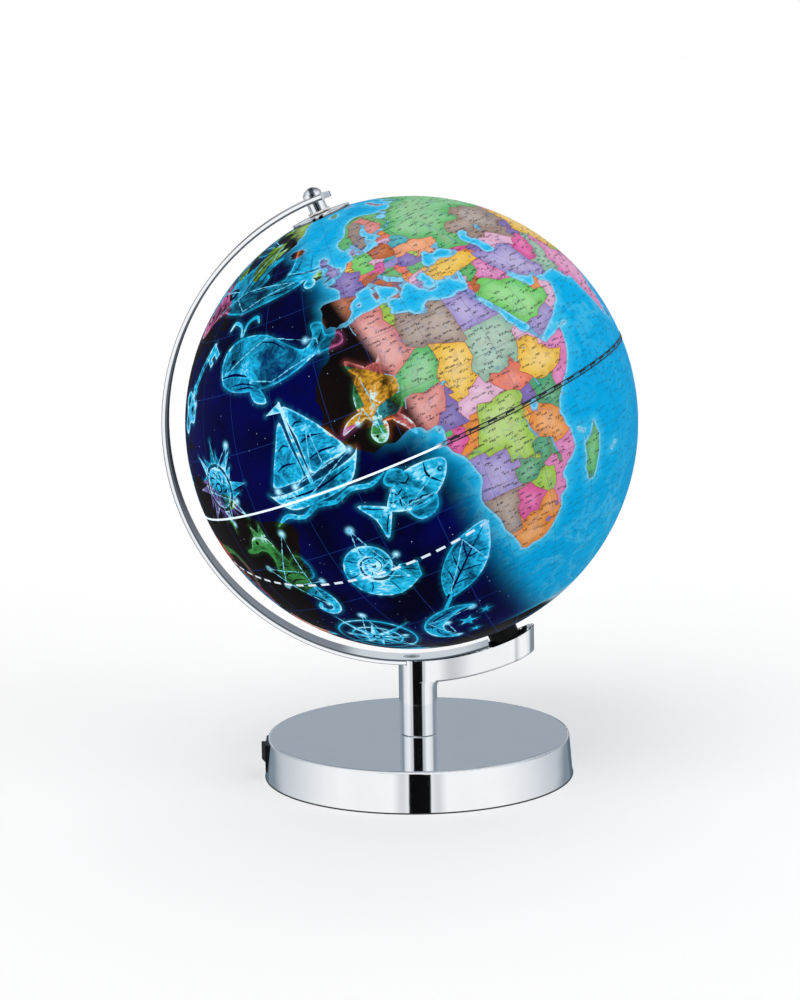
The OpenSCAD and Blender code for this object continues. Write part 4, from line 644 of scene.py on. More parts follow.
ISLANDS = (
    # Europe
    "-5.6 50.1, -3.5 50.4, 1.3 51.1, 0.5 51.5, 1.7 52.6, 0.2 53, -1.5 55, -3 56, -2 57.5, -4 57.7, -3.1 58.6,"
    "-5 58.5, -6 56.8, -5 55, -3 54.8, -3 53.4, -4.6 53.2, -4.2 52.3, -5.1 51.8, -3 51.4",
    "-10 51.7, -6.4 52.3, -6 53.5, -5.6 54.6, -7.3 55.3, -8.6 54.3, -10 53.8, -9.4 52.9",
    "-24 65.5, -22 66.4, -16 66.4, -13.6 65, -16 63.7, -19 63.4, -22.7 63.9, -22 64.8",
    "12.5 37.9, 15.5 38.2, 15.1 36.8", "8.2 40.9, 9.6 41.1, 9.6 39.3, 8.5 39", "8.7 42.5, 9.4 42.9, 9.3 41.5",
    "23.6 35.5, 26.2 35.3, 24.8 35", "32.3 35, 34.4 35.6, 33.5 34.7", "10.8 55.7, 12.4 56, 12 54.8",
    "2.4 39.6, 3.3 39.9, 3.1 39.4", "18.2 57.2, 19 57.9, 18.8 57.3",
    "12 78.6, 16 79.9, 25 80.2, 21 78.3, 16.5 76.8", "45 80.6, 62 81.5, 60 80.4", "96 79.5, 98 81, 105 79, 100 78",
    "52 71.5, 55.5 74.3, 61 76.3, 68.5 76.8, 59.5 74.5, 57 72.3, 57 70.7",
    "137 75.3, 143 75.9, 150 75.2, 143 73.4", "178.6 70.9, 180.5 71.5, 182.3 71",
    # Africa
    "49.3 -12, 50.4 -15.6, 47.6 -23, 46 -25.4, 44 -25.1, 43.4 -22, 44.4 -19.6, 44.4 -16.3, 47 -15.1",
    "53.4 12.6, 54.5 12.5, 53.9 12.3", "55.3 -21, 55.8 -21.2, 55.5 -21.4", "57.4 -20.1, 57.7 -20.3, 57.4 -20.5",
    "-16.8 28.4, -16.2 28.5, -16.5 28.1", "-14 28.6, -13.8 28.1, -14.4 28.2", "8.4 3.7, 8.9 3.6, 8.6 3.2",
    "43.2 -11.5, 43.5 -11.8, 43.3 -11.9", "45 -12.7, 45.3 -12.8, 45.1 -13",
    # Asia
    "79.9 9.6, 81.2 8.6, 81.8 7, 80.5 6, 79.8 7.2", "108.7 19.2, 110.6 20.1, 110 18.4",
    "120.2 23, 121.6 25.2, 120.9 22",
    "130.9 34, 132.6 35.4, 136 35.7, 137.2 37.4, 139.5 38.4, 140 40.5, 141 41.4, 142 39.6, 141 38, 140.8 35.7,"
    "138.9 34.7, 137 34.7, 135.7 33.5, 135 34.7, 132.5 34.2",
    "129.8 33.2, 131 33.9, 131.9 32.8, 131.2 31.4, 130.2 31.3", "132.3 33.4, 134.5 34.3, 134.2 33.4, 133 32.8",
    "140 41.6, 140.5 43.2, 141.8 45.4, 145.3 44, 145.3 43.2, 143.3 42, 141 42.5",
    "142 46, 142.1 49, 142.6 53.5, 143 54.3, 143.4 51.5, 143.6 49, 142.7 47.5, 143.5 46.8",
    "120.6 18.5, 122.2 18.4, 121.6 16, 124 13, 121 13.7, 120 15.6", "122.4 7, 124 8.5, 125.4 9.7, 126.3 8,"
    "126 6.3, 124 6.2", "122 11.6, 123.2 11.5, 122.5 10.5", "124.5 12.4, 125.5 12, 125 10.4",
    "119 11, 119.5 10.8, 117.4 8.4",
    "95.3 5.6, 98 4.3, 100.6 2.2, 103.5 -1, 106 -3, 105.8 -5.8, 104.5 -5.7, 102.3 -4, 100.3 -1, 98.6 1.8",
    "105.3 -6.8, 106.8 -6.1, 110.8 -6.5, 114.4 -7.7, 114.2 -8.6, 110 -8, 106.5 -7.4",
    "109 1.5, 111.3 2.5, 113 3.2, 115 5, 117 7, 119 5.2, 117.8 3.4, 118 1, 117.5 -0.8, 116.3 -3.8, 114.5 -4,"
    "111.8 -3.4, 110.2 -2.8, 109 -0.3",
    "119.8 0.8, 121 1.2, 125 1.5, 123.5 0.5, 120.3 0.5, 121 -0.9, 123.3 -0.9, 121.8 -2, 122.6 -4.4, 121.5 -4.6,"
    "120.9 -2.8, 120.4 -5.5, 119.5 -5.4, 119 -3", "115.2 -8.2, 119 -8.5, 118 -9", "119.9 -8.5, 123 -8.4, 121 -8.9",
    "123.6 -10.3, 127.2 -8.4, 125 -9.3", "127.6 2, 128.5 1, 128 -0.7, 127.5 0.6", "128 -3.2, 130.8 -3.2, 129 -3.5",
    "131 -0.8, 134.2 -0.9, 135 -3.3, 138 -1.7, 141 -2.6, 145 -4.3, 147.7 -6, 147.2 -6.9, 150.8 -10.4, 147 -9.5,"
    "144 -7.8, 141 -9.1, 138 -8.3, 138.6 -6.8, 135.5 -4.5, 133 -4, 132.6 -2.5",
    "148.5 -5.6, 151.6 -4.3, 152 -5.4, 149.6 -6.3", "154.8 -5.5, 155.9 -6.8, 155.2 -6.4",
    "157 -7.5, 161 -10, 159.5 -9.4", "164 -20.2, 167 -22.2, 165.5 -21.7", "166.6 -14.8, 167.3 -16, 166.8 -15.9",
    "177.3 -17.8, 178.6 -17.6, 178 -18.3",
    "144.7 -40.8, 148.3 -40.9, 148 -43, 146 -43.5",
    "172.8 -34.5, 175.5 -36.5, 178.4 -37.7, 177 -39.4, 175.2 -41.5, 174.9 -39.9, 173.8 -39.3, 174.8 -38",
    "172.7 -40.6, 174.2 -41.7, 172.8 -43.7, 170.8 -45.9, 168.4 -46.6, 166.5 -45.9, 168.5 -44, 171.5 -42",
    # America
    "-73 78.2, -60 82, -45 82.6, -30 83.5, -18 81.5, -20 77, -19 74, -23 72, -22 70.3, -27 68.3, -34 66.3,"
    "-40 65, -43.3 60, -48 60.9, -51.5 64, -53.5 67, -51 69.5, -54.5 71.5, -58 75.3, -68 76.2",
    "-80 73.7, -72 71.5, -67 69.5, -62 67, -63.5 64.9, -65.5 62, -71 63, -73.5 64.4, -78 64.7, -73 67.3, -79 70,"
    "-88 71, -85 73.7", "-117 70.2, -113 73, -105 73, -101.5 69.5, -107 69.1, -116 69.2",
    "-90 77, -80 76.3, -75 79, -62 82.5, -75 83, -90 81.5, -88 79", "-125 72, -120 74.3, -117 73.3, -123 71.2",
    "-96 75.5, -80 75.7, -80 74.7, -92 74.7", "-117 75.5, -108 76.5, -106 75, -113 74.6",
    "-102 73.5, -97 73.8, -97 71.6, -102 72", "-95.5 73.9, -90.5 73.9, -92.5 72.4", "-97 80, -88 80.8, -90 78.6",
    "-59.3 47.7, -57.5 49.8, -55.5 51.6, -53.2 49, -52.8 46.9, -55.5 47.2", "-128 50.7, -125 50, -123.5 48.4",
    "-87 65.4, -81 64, -85.4 63", "-133 54, -131.8 54, -131.3 52.4", "-154.5 57.5, -152.2 58.2, -153.6 57",
    "-84.9 21.9, -82 23.1, -79 22.6, -76.8 21.3, -74.2 20.2, -77.5 19.9, -78.2 20.8, -82 22.4",
    "-74.4 18.5, -73 19.9, -70 19.8, -68.4 18.6, -71 17.8", "-78.3 18.3, -76.3 18.1, -77.2 17.8",
    "-67.2 18.4, -65.7 18.4, -66 18", "-61.8 10.7, -61 10.7, -61.6 10.1", "-60.9 -51.4, -58 -51.5, -59.5 -52.2",
    "-156 20.2, -155 19.5, -155.8 19", "-159.7 22.2, -159.3 22, -159.6 21.9",
    # Small southern isles
    "69 -49, 70.3 -49.2, 69.5 -49.7", "-38 -54, -36 -54.4, -37 -54.5")
# Seas and lakes inside the coasts.
LAKES = (
    "29 41.2, 28 42, 27.8 43, 28.6 44, 29.7 45, 31 46.4, 33 46.1, 32.6 45.4, 33.5 44.5, 35.5 45, 36.5 45.3,"
    "35 46.2, 37.5 47, 39.2 47.2, 38.2 46, 37.4 45.2, 38.2 44.4, 40 43.3, 41.6 42.2, 41.4 41.5, 39.5 41, 37 41.1,"
    "35 42, 33 42, 31 41.2",
    "47 44.6, 49 46.5, 51.5 47, 53 46.7, 53 45.3, 51 44.5, 51.2 43, 52.7 42.5, 53 41, 53.8 39, 53.9 37.2, 52 36.7,"
    "50 37.4, 49 38.4, 49.6 40.3, 48.5 41.8, 47.6 43",
    "27.3 40.6, 29 40.9, 28 40.4", "58.5 45.5, 60.5 46.6, 61.5 46, 60 44, 58.5 44",
    "74 46.2, 77 46.6, 79 46.6, 76 46.1",
    "103.8 51.6, 107 53, 109.8 55.6, 109 54, 106 51.9", "31 60, 31.5 61.4, 33 61, 32.3 60",
    "34.4 61.4, 35 62.7, 36.3 61.1",
    "32 0.3, 34 0.2, 34 -1.6, 33 -2.5, 31.7 -2.3, 31.7 -0.8",
    "29.2 -3.4, 29.2 -6, 30.8 -8.6, 31 -8.2, 29.6 -5.6, 29.5 -3.5",
    "34 -9.7, 34.1 -12, 34.9 -14.3, 35.2 -14, 34.7 -12, 34.5 -10.2", "13.2 13.1, 14.4 13.6, 14.9 12.9, 14 12.6",
    "35.9 4.5, 36.2 4.4, 36.7 2.6, 36.2 2.7", "37 12.2, 37.6 12.1, 37.4 11.7", "42.6 38.4, 43.5 39, 43.2 38.4",
    "13 58.7, 14 59.2, 13.5 58.5", "45.2 38.1, 45.6 37.4, 45.3 37.3",
    "-92 46.8, -88.5 48.7, -85 47.8, -84.6 46.6, -87.5 46.6", "-87.8 42, -86.5 45.6, -85 45.9, -86.5 43.5, -87 41.8",
    "-84.4 45.9, -80.2 45.5, -81.6 43.4, -83.5 44", "-83.2 42, -79 42.8, -80.5 42, -83 41.5",
    "-79.6 43.4, -76.6 44.1, -76.8 43.4, -79 43.2", "-99 53.8, -97 53.5, -96.8 50.8, -98.3 51.6",
    "-116.5 61, -110 62.6, -112 61.2", "-124.5 66, -119 66.8, -118 65.4, -122 65.1", "-111 59.5, -106 59, -110 58.9",
    "-103.5 57.5, -101.5 57.6, -102.5 56.4", "-70 -15.5, -69 -16.4, -69.7 -16.1", "-86 12, -85.1 11.2, -85.4 11.2")

# Borders between countries. Ends at a coast run a little out to sea.
BORDERS = (
    # Africa
    "-2.1 35.8, -1.7 33.2, -1.2 32.2, -3.7 30.8, -5.5 29.8, -8.7 28.7, -8.7 27.3, -4.8 25, 1.2 21.1, 3.2 19.8,"
    "4.2 19.1, 7.5 20.9, 12 23.5, 10 24.5, 9.4 26.2, 9.9 27.6, 9.5 30.2, 7.6 33.3, 8.3 35, 8.6 37.8",
    "-8.7 27.7, -14 27.7", "-8.7 27.3, -8.7 26, -12 26, -12 23.4, -13 22.8, -13 21.3, -18 21.3",
    "9.5 30.2, 10.3 31.8, 11.6 34", "12 23.5, 14.2 22.5, 15 23, 24 19.5, 24 20, 25 20, 25 22, 25 32.5",
    "25 22, 31.3 22, 38 22", "24 19.5, 24 15.7, 22.5 14, 22 12.6, 22.9 11", "15 23, 15.5 20.5, 15.6 18, 13.5 15,"
    "13.6 13.7", "4.2 19.1, 4.2 16.5, 3.5 15.5, 1 15, 0.2 14.9", "0.2 14.9, 2.4 11.9, 3.6 11.7, 4.2 13.4, 6.5 13.7,"
    "9 12.8, 11.5 13.3, 13.6 13.7, 14.2 12.5", "3.6 11.7, 2.8 9, 2.7 5.5", "14.2 12.5, 13.5 11, 13.2 9.6, 12 7,"
    "10.5 7, 8.4 4", "14.2 12.5, 15 11, 15.6 9.9, 14 10, 15.5 7.5, 14.5 5.5, 15.2 4, 16.2 2.2",
    "15.5 7.5, 18.6 8, 19 9, 21 9.9, 22.9 11, 23.6 8.7, 24.5 8.7, 25.3 7.5, 27.4 5.1, 25 5, 22.5 4.2, 19.5 5.1,"
    "18.6 3.5, 16.5 3.5, 16.2 2.2, 13.3 2.2, 11.3 2.3, 9 2.3", "24.5 8.7, 26 10.2, 28 9.3, 31 9.8, 32.5 12, 33.1 10,"
    "34 9.5, 34.1 8.6", "13.3 2.2, 14.4 1.5, 14 0, 14.4 -1.5, 13 -2.4, 10.8 -4.3", "11.3 2.3, 11.3 1, 9 1",
    "18.6 3.5, 17.8 0.3, 16.2 -2.2, 15.8 -4, 13.5 -4.5, 12.7 -5, 12 -5.6",
    "11.9 -6, 16.5 -5.9, 17 -7.5, 19.5 -7.2, 21.8 -7.3, 22 -9, 21.9 -11.2, 24 -11, 25.5 -11.8, 27.2 -11.9,"
    "28.5 -13, 29.8 -13.4, 29.8 -12.2, 28.5 -12, 28.4 -9.2, 30.8 -8.4", "29.3 -5, 29.3 -3.3, 29 -2, 29.6 -1.4,"
    "29.7 0.7, 31 2.3, 30.8 3.5, 29.5 4.5, 27.4 5.1", "29.4 -4.5, 30.7 -3.2, 30.6 -1, 29.6 -1.4",
    "30.6 -1, 33.9 -1, 37.6 -3, 40 -5.2", "29.2 -2.7, 30.6 -2.4", "33.9 -1, 33.9 0.2, 34.6 1.3, 34 4.2, 30.8 3.5",
    "34 4.2, 35.9 5, 36 4.4, 38 3.6, 39.5 3.5, 41.9 3.9, 41 2.8, 41 -0.9, 42.3 -2.3",
    "41.9 3.9, 45 5, 48 8, 47 8, 44 9, 42.8 10.9, 41.8 11, 42.4 12.5, 43.6 13", "42.8 10.9, 44 11.2",
    "35.9 5, 35 6, 33 7.8, 34.1 8.6, 34.3 10.6, 35 11.2, 36.1 13, 36.5 14.3, 36.9 17, 39.5 18.4",
    "36.5 14.3, 38.5 14.5, 40 14.5, 42.4 12.5", "30.8 -8.4, 33 -9.4, 34 -9.7", "34.6 -11.6, 37.5 -11.7, 41 -10.3",
    "33 -9.4, 33.3 -12, 32.7 -13.7, 33.2 -14, 34.5 -14.5, 34.5 -16, 35.3 -17.1, 35.8 -15.5, 35 -14.2",
    "33.2 -14, 30.2 -14.9, 30.4 -15.6, 28.9 -16, 27 -17.8, 25.2 -17.8, 23.4 -17.6, 22 -16.3, 22 -13, 24 -13,"
    "24 -11", "30.4 -15.6, 31.3 -16.4, 33 -16.7, 32.8 -19.5, 32.4 -21.3, 31.3 -22.4, 29.3 -22.2, 27.7 -20.7,"
    "26.2 -19.5, 25.2 -17.8, 23.3 -18.3, 21 -18.3, 21 -22, 20 -22, 20 -24.8", "23.4 -17.6, 18.5 -17.4, 14 -17.4,"
    "11 -17.2", "20 -24.8, 20 -28.4, 17.5 -28.7, 15.5 -28.7", "20 -24.8, 20.8 -26.8, 23 -25.3, 25.6 -25.7, 27 -23.7,"
    "29.3 -22.2", "31.3 -22.4, 32 -24.5, 32 -26, 32 -26.8, 33.6 -26.8",
    "32 -26, 31 -25.8, 31 -27.2, 32 -27.2, 32 -26.8",
    "28 -28.8, 29.3 -29.6, 28 -30.6, 27 -29.6, 28 -28.8", "-4.8 25, -6.5 25, -5.5 15.5, -9.3 15.4, -11.4 15.6,"
    "-12.2 14.8, -14.5 16.6, -17.2 16.1", "-12.2 14.8, -11.4 12.4, -9 12.4, -8 10.2, -5.5 10.4, -4.2 12.5, -2.8 14,"
    "0.2 14.9", "-11.4 12.4, -13.7 12.6, -17.4 12.4", "-17.3 13.5, -13.9 13.5, -13.9 13.2, -17.3 13.2",
    "-13.7 12.6, -13.7 11.7, -15.6 10.7", "-14 9, -12.5 9.9, -11 9.9, -10.3 8.4, -11.9 6.6", "-10.3 8.4, -9.4 7.5,"
    "-8.4 7.6, -7.4 5.5, -7.6 4", "-8.4 7.6, -8 10.2", "-5.5 10.4, -2.8 9.7, -2.6 7.5, -3.1 4.6", "-2.8 9.7, -2.8 11,"
    "0 11.1, 1 11, 2.4 11.9", "0 11.1, 0.5 8.5, 1.2 5.6", "1 11, 1.6 9, 1.7 5.6",
    # Nearer Asia
    "34.1 31.8, 34.9 29.5, 35.4 31.2, 35.6 32.7, 36.8 32.3, 38.8 33.4, 39.2 32.2, 37 31.5, 38 30.5, 36 29.2,"
    "34.5 29.4", "35.6 32.7, 35.6 33.3, 34.8 33.1", "35.6 33.3, 36.6 34.3, 35.3 34.7", "39.2 32.2, 42 31.1,"
    "44.7 29.2, 46.5 29.1, 47.7 30.1, 48.4 29.9", "46.5 29.1, 47.5 28.7, 49.2 28.5", "38.8 33.4, 41 34.4,"
    "41.3 36.5, 42.4 37.1, 44.8 37.2, 45.4 36, 46 35, 45.7 34, 47.7 31.5, 48.5 29.6", "35.2 35.9, 36.7 36.8,"
    "40 36.8, 42.4 37.1", "44.8 37.2, 44.4 38.5, 44.8 39.7, 43.6 40.8, 43.5 41.1, 41 41.6", "43.5 41.1, 45 41.3,"
    "46.6 41.8, 49.2 41.9", "45 41.3, 45.5 40.5, 46.5 39, 44.8 39.7", "46.5 39, 48 39.5, 49.4 38.2",
    "39.3 43.6, 43 43, 46.6 41.8", "42 16.4, 44 17.3, 47 17, 49 18.6, 52 19, 55 20, 55.7 22, 55.2 22.7, 52.6 22.9,"
    "51.4 24.7", "52 19, 53.3 16", "55.2 22.7, 55.8 24.3, 57 25", "50.6 24.4, 51.8 24.4", "53.5 37.3, 57 38.2,"
    "59 37.5, 61.2 36.6, 60.6 34.3, 60.9 31.5, 60.9 29.9, 62.8 28, 63.2 27.2, 61.6 24.6",
    "60.9 29.9, 64 29.4, 66.3 29.9, 66.6 31.3, 69.3 31.9, 70 33.5, 71.3 34.5, 71.5 36.4, 74.8 37.3",
    "61.2 36.6, 62.5 35.3, 64.8 37.1, 66.6 37.4, 68 37, 70.2 37.9, 71.5 37.8, 71.5 36.8, 74.8 37.3, 77.8 35.5,"
    "79 32.5, 81 30.2, 84 29, 88 27.9, 89 27.3, 92 27.8, 97.3 28.2", "66.6 37.4, 64 39, 61.8 41.2, 60 42.2,"
    "58.5 42.7, 56 41.3, 54 42.3, 52 41.8", "56 41.3, 56 45, 59 45.6", "60.5 44.4, 62 43.5, 66 42, 68 41, 69 41.4,"
    "71 42.3, 73.5 43.1, 76 43, 80.2 42.2", "71 42.3, 70.3 41, 73 40.7, 70.5 40, 73.8 39.5", "68 37, 68.2 38.5,"
    "67.5 39.5, 70.5 40", "74.8 37.3, 73.8 39.5, 76.5 40.4, 80.2 42.2, 80.2 45, 82.5 45.3, 83 47.2, 85.5 47.1,"
    "87.3 49.1", "87.3 49.1, 83.5 51, 80 50.8, 77 53.8, 73.5 53.6, 71 54.2, 69 55.3, 65 54.4, 61 53.9, 61.5 51.5,"
    "59 50.6, 55 51, 52 51.5, 48.5 50, 47 48.5, 49.4 46",
    # Farther Asia
    "87.3 49.1, 92 50.7, 98 50, 98.5 52, 102.3 50.6, 107 49.8, 113 49.7, 116.7 49.8, 116 48, 119.7 46.7, 116 46.3,"
    "111.9 45, 112 43.8, 110 42.7, 105 41.6, 97 42.8, 95.5 44.2, 91 45.2, 91 46.8, 87.3 49.1",
    "116.7 49.8, 119.9 52.8, 121 53.4, 125.5 53, 127.5 50, 130.7 48.8, 134.7 48.3, 131 44.9, 130.7 42.3",
    "123.6 39.6, 126.9 41.7, 129.6 42.4, 130.7 42.3, 131 42", "125.6 37.6, 128.4 38.6, 129.3 38.8",
    "67.6 23.6, 71 24.4, 70 27.8, 73.9 30, 74.6 31.7, 75.3 32.4, 74 33.5, 74.5 34.8, 77.8 35.5",
    "81 30.2, 80.2 28.8, 84 27.4, 88 26.4, 88 27.9", "89 27.3, 89 26.8, 92 26.8, 92 27.8", "88.9 21, 88.7 24.3,"
    "88.2 25.8, 89.8 25.9, 92.2 25.1, 91.3 23.5, 92.3 22, 92.2 20.4", "92.3 22, 93.3 24, 95 26, 97.3 28.2, 98.7 27.5,"
    "97.7 24.5, 99.5 23, 101.1 21.6, 102.1 22.4, 105 23.2, 106.8 22, 108.3 21.2", "101.1 21.6, 100.1 20.3, 97.8 18.5,"
    "98.5 16.3, 98.2 15, 99.2 13, 98.2 10", "100.1 20.3, 101.2 19.5, 101.2 17.5, 104 18.2, 104.8 16.5, 105.5 14.4,"
    "107.5 14.5, 107.5 15.5, 105.2 18.7, 104.6 20.4, 103 20.8, 102.1 22.4", "105.5 14.4, 102.6 13.8, 102.8 11.4",
    "107.5 14.5, 107.5 12.3, 105.8 11, 104 10.2", "99.8 6.6, 102.4 6.1",
    "109.3 2.2, 111 1, 114 1.4, 115.5 3, 116 4.2,"
    "118.2 4.1", "141 -2, 141 -9.6",
    # Europe
    "-9.3 41.9, -6.5 41.9, -7 39.6, -7.3 38.2, -7.4 36.8", "-2 43.7, 0.7 42.8, 3.6 42.4",
    "7.5 43.4, 7 44.8, 6.9 45.9,"
    "8.5 46.2, 10.5 46.6, 9.6 47.5, 7.5 47.6, 6.1 46.4, 6.9 45.9", "7.5 47.6, 8.2 49, 6.2 49.5, 4.2 50, 2.2 51.3",
    "6.2 49.5, 6 50.8, 5 51.5, 3.1 51.6", "6 50.8, 6 51.8, 7 52.3, 7.1 53.8", "9.6 47.5, 13 47.5, 13.8 48.7,"
    "12.2 50.3, 14.8 50.9, 14.7 52.5, 14.2 54.2", "10.5 46.6, 13.7 46.5, 13.7 45.3", "13.7 46.5, 16.1 46.8, 17.1 48,"
    "17 48.7, 15 49, 13.8 48.7", "8 55, 9.9 54.8, 10.4 54.8", "14.8 50.9, 16.5 50.2, 18.8 49.5, 17 48.7",
    "18.8 49.5, 20.3 49.3, 22.5 49.1, 22.2 48.4, 19 48, 17.1 48", "22.2 48.4, 22.9 48, 21.2 46.2, 20.3 46.1,"
    "18.9 45.9, 16.5 46.5, 16.1 46.8", "16.5 46.5, 15.6 45.7, 13.3 45.4", "18.9 45.9, 19 44.9, 15.8 45.2, 16.3 44,"
    "18.6 42.3", "19 44.9, 19.5 43.5, 18.5 42.6", "19.5 43.5, 20.3 42.9, 19.1 41.7", "20.3 42.9, 20.6 41.9,"
    "22.4 42.3, 22.7 44.2, 21.5 44.8, 20.3 46.1", "20.6 41.9, 21 40.8, 19.8 39.5", "21 40.8, 23 41.3, 22.4 42.3",
    "23 41.3, 26.3 41.7, 25.9 40.4", "26.3 41.7, 28.3 42", "22.7 44.2, 25.5 43.7, 29 43.8", "22.9 48, 25 47.8,"
    "26.6 48.3, 28.1 46.5, 28.2 45.5, 30 45.3", "26.6 48.3, 29 48, 30 46.4, 28.2 45.5", "22.5 49.1, 23.6 50.4,"
    "23.6 51.5, 23.8 53, 23.5 54, 22.8 54.4, 19.2 54.4", "22.8 54.4, 22.6 55, 20.6 55.3", "23.5 54, 25.6 54.3,"
    "26.6 55.7, 24.5 56.3, 20.6 56.2", "26.6 55.7, 28.2 56.2, 27.4 57.5, 25 58, 24 57.9", "27.4 57.5, 27.5 58.8,"
    "28.1 59.8", "23.6 51.5, 27 51.6, 30.6 51.3, 31.8 52.1, 34.2 51.3, 35.5 50.4, 38 49.9, 40 49.6, 39.8 47.9,"
    "38.2 46.8", "31.8 52.1, 32.6 53.3, 31 54.8, 28.2 56.2", "27.6 60.2, 31.5 62.8, 29.8 64.5, 29 66.9, 28.6 68.8,"
    "30.9 70.3", "28.6 68.8, 28 70, 25.7 69, 21 69.2, 20.6 69, 16.5 67.8, 14.5 65.5, 12.2 63.5, 12.3 61.3,"
    "11.3 58.6", "20.6 69, 23.7 67.5, 24.1 65.3",
    # America
    "-141 70.2, -141 60.2, -137.5 59, -135 59.5, -133.5 58, -130 56, -130.8 54.3", "-124 49, -95.2 49, -89.5 48,"
    "-84.5 46.5, -82.5 45.3, -82.5 42, -79 42.7, -78.5 43.5, -76.5 44.2, -74.7 45, -71.5 45, -70 46.5, -69.2 47.4,"
    "-67.8 47, -66.8 44.5", "-117.8 32.5, -114.8 32.5, -111 31.3, -108.2 31.3, -106.5 31.8, -104.5 29.6, -103 29,"
    "-101.4 29.8, -99.5 27.5, -96.7 25.9", "-92.6 14.2, -91.5 16, -91 17.8, -89.2 17.8, -87.7 18.5", "-89.2 17.8,"
    "-89 15.6", "-88 16, -89.3 14.4, -90.4 13.4", "-89.3 14.4, -87.7 12.9", "-87.6 12.7, -85 14.5, -82.7 15",
    "-86.3 11.1, -83.2 11", "-83 7.7, -82.4 9.9", "-71.7 20.2, -71.8 17.6", "-77.9 9, -77.5 6.8",
    "-71.2 12.2, -72.8 9.5, -72.3 7.4, -70 7, -67.5 6.2, -67.8 3, -67 1.2, -69.8 1.7, -69.5 -1, -69.9 -4.2,"
    "-72.5 -2.4, -75.2 -0.1, -77.5 0.6, -79.2 1.5", "-75.2 -0.1, -78 -3, -79 -5, -80.7 -3.2", "-69.9 -4.2, -73.2 -6,"
    "-73 -9.4, -70.6 -9.5, -70.6 -11, -69 -11, -69 -15.3, -69.5 -17.5, -71 -18.4", "-69 -11, -65.4 -10, -65 -12,"
    "-60.2 -13.7, -60.2 -16.2, -58.3 -16.3, -57.8 -19, -58.1 -20.2, -57.8 -22, -55.7 -22.3, -54.3 -24, -54.6 -25.6,"
    "-53.8 -27, -57.6 -30.2, -58.4 -34.4", "-69.5 -17.5, -68.2 -20, -67.2 -22.8, -64.5 -22.7, -62.6 -22.2, -62 -20,"
    "-59 -19.4, -58.1 -20.2", "-62.6 -22.2, -57.7 -25.3, -58.5 -27.3, -55.8 -27.4, -54.6 -25.6", "-57.6 -30.2,"
    "-55.5 -31, -53 -33.9", "-67.2 -22.8, -68.4 -24.5, -69.8 -30, -70 -33.3, -71.2 -37, -71.7 -41, -71.7 -44.5,"
    "-72 -47, -73.3 -50, -72.3 -52, -67.8 -52.3", "-68.6 -52, -68.6 -55.9", "-67 1.2, -64 2, -64 4, -60.7 5.2,"
    "-61.3 6.5, -59.9 9", "-60.7 5.2, -59.8 2.5, -57 2, -57.3 6.8", "-57 2, -54.5 2.3, -54 6.3", "-54.5 2.3,"
    "-52.5 2.4, -51.2 4.8",
    # Australia's states
    "129 -14.4, 129 -26, 129 -32.2", "138 -16, 138 -26, 129 -26", "138 -26, 141 -26, 141 -29, 141 -34, 141 -38.6",
    "141 -29, 149 -29, 154 -28.2", "141 -34, 144 -35.8, 148 -36, 150.6 -37.6")
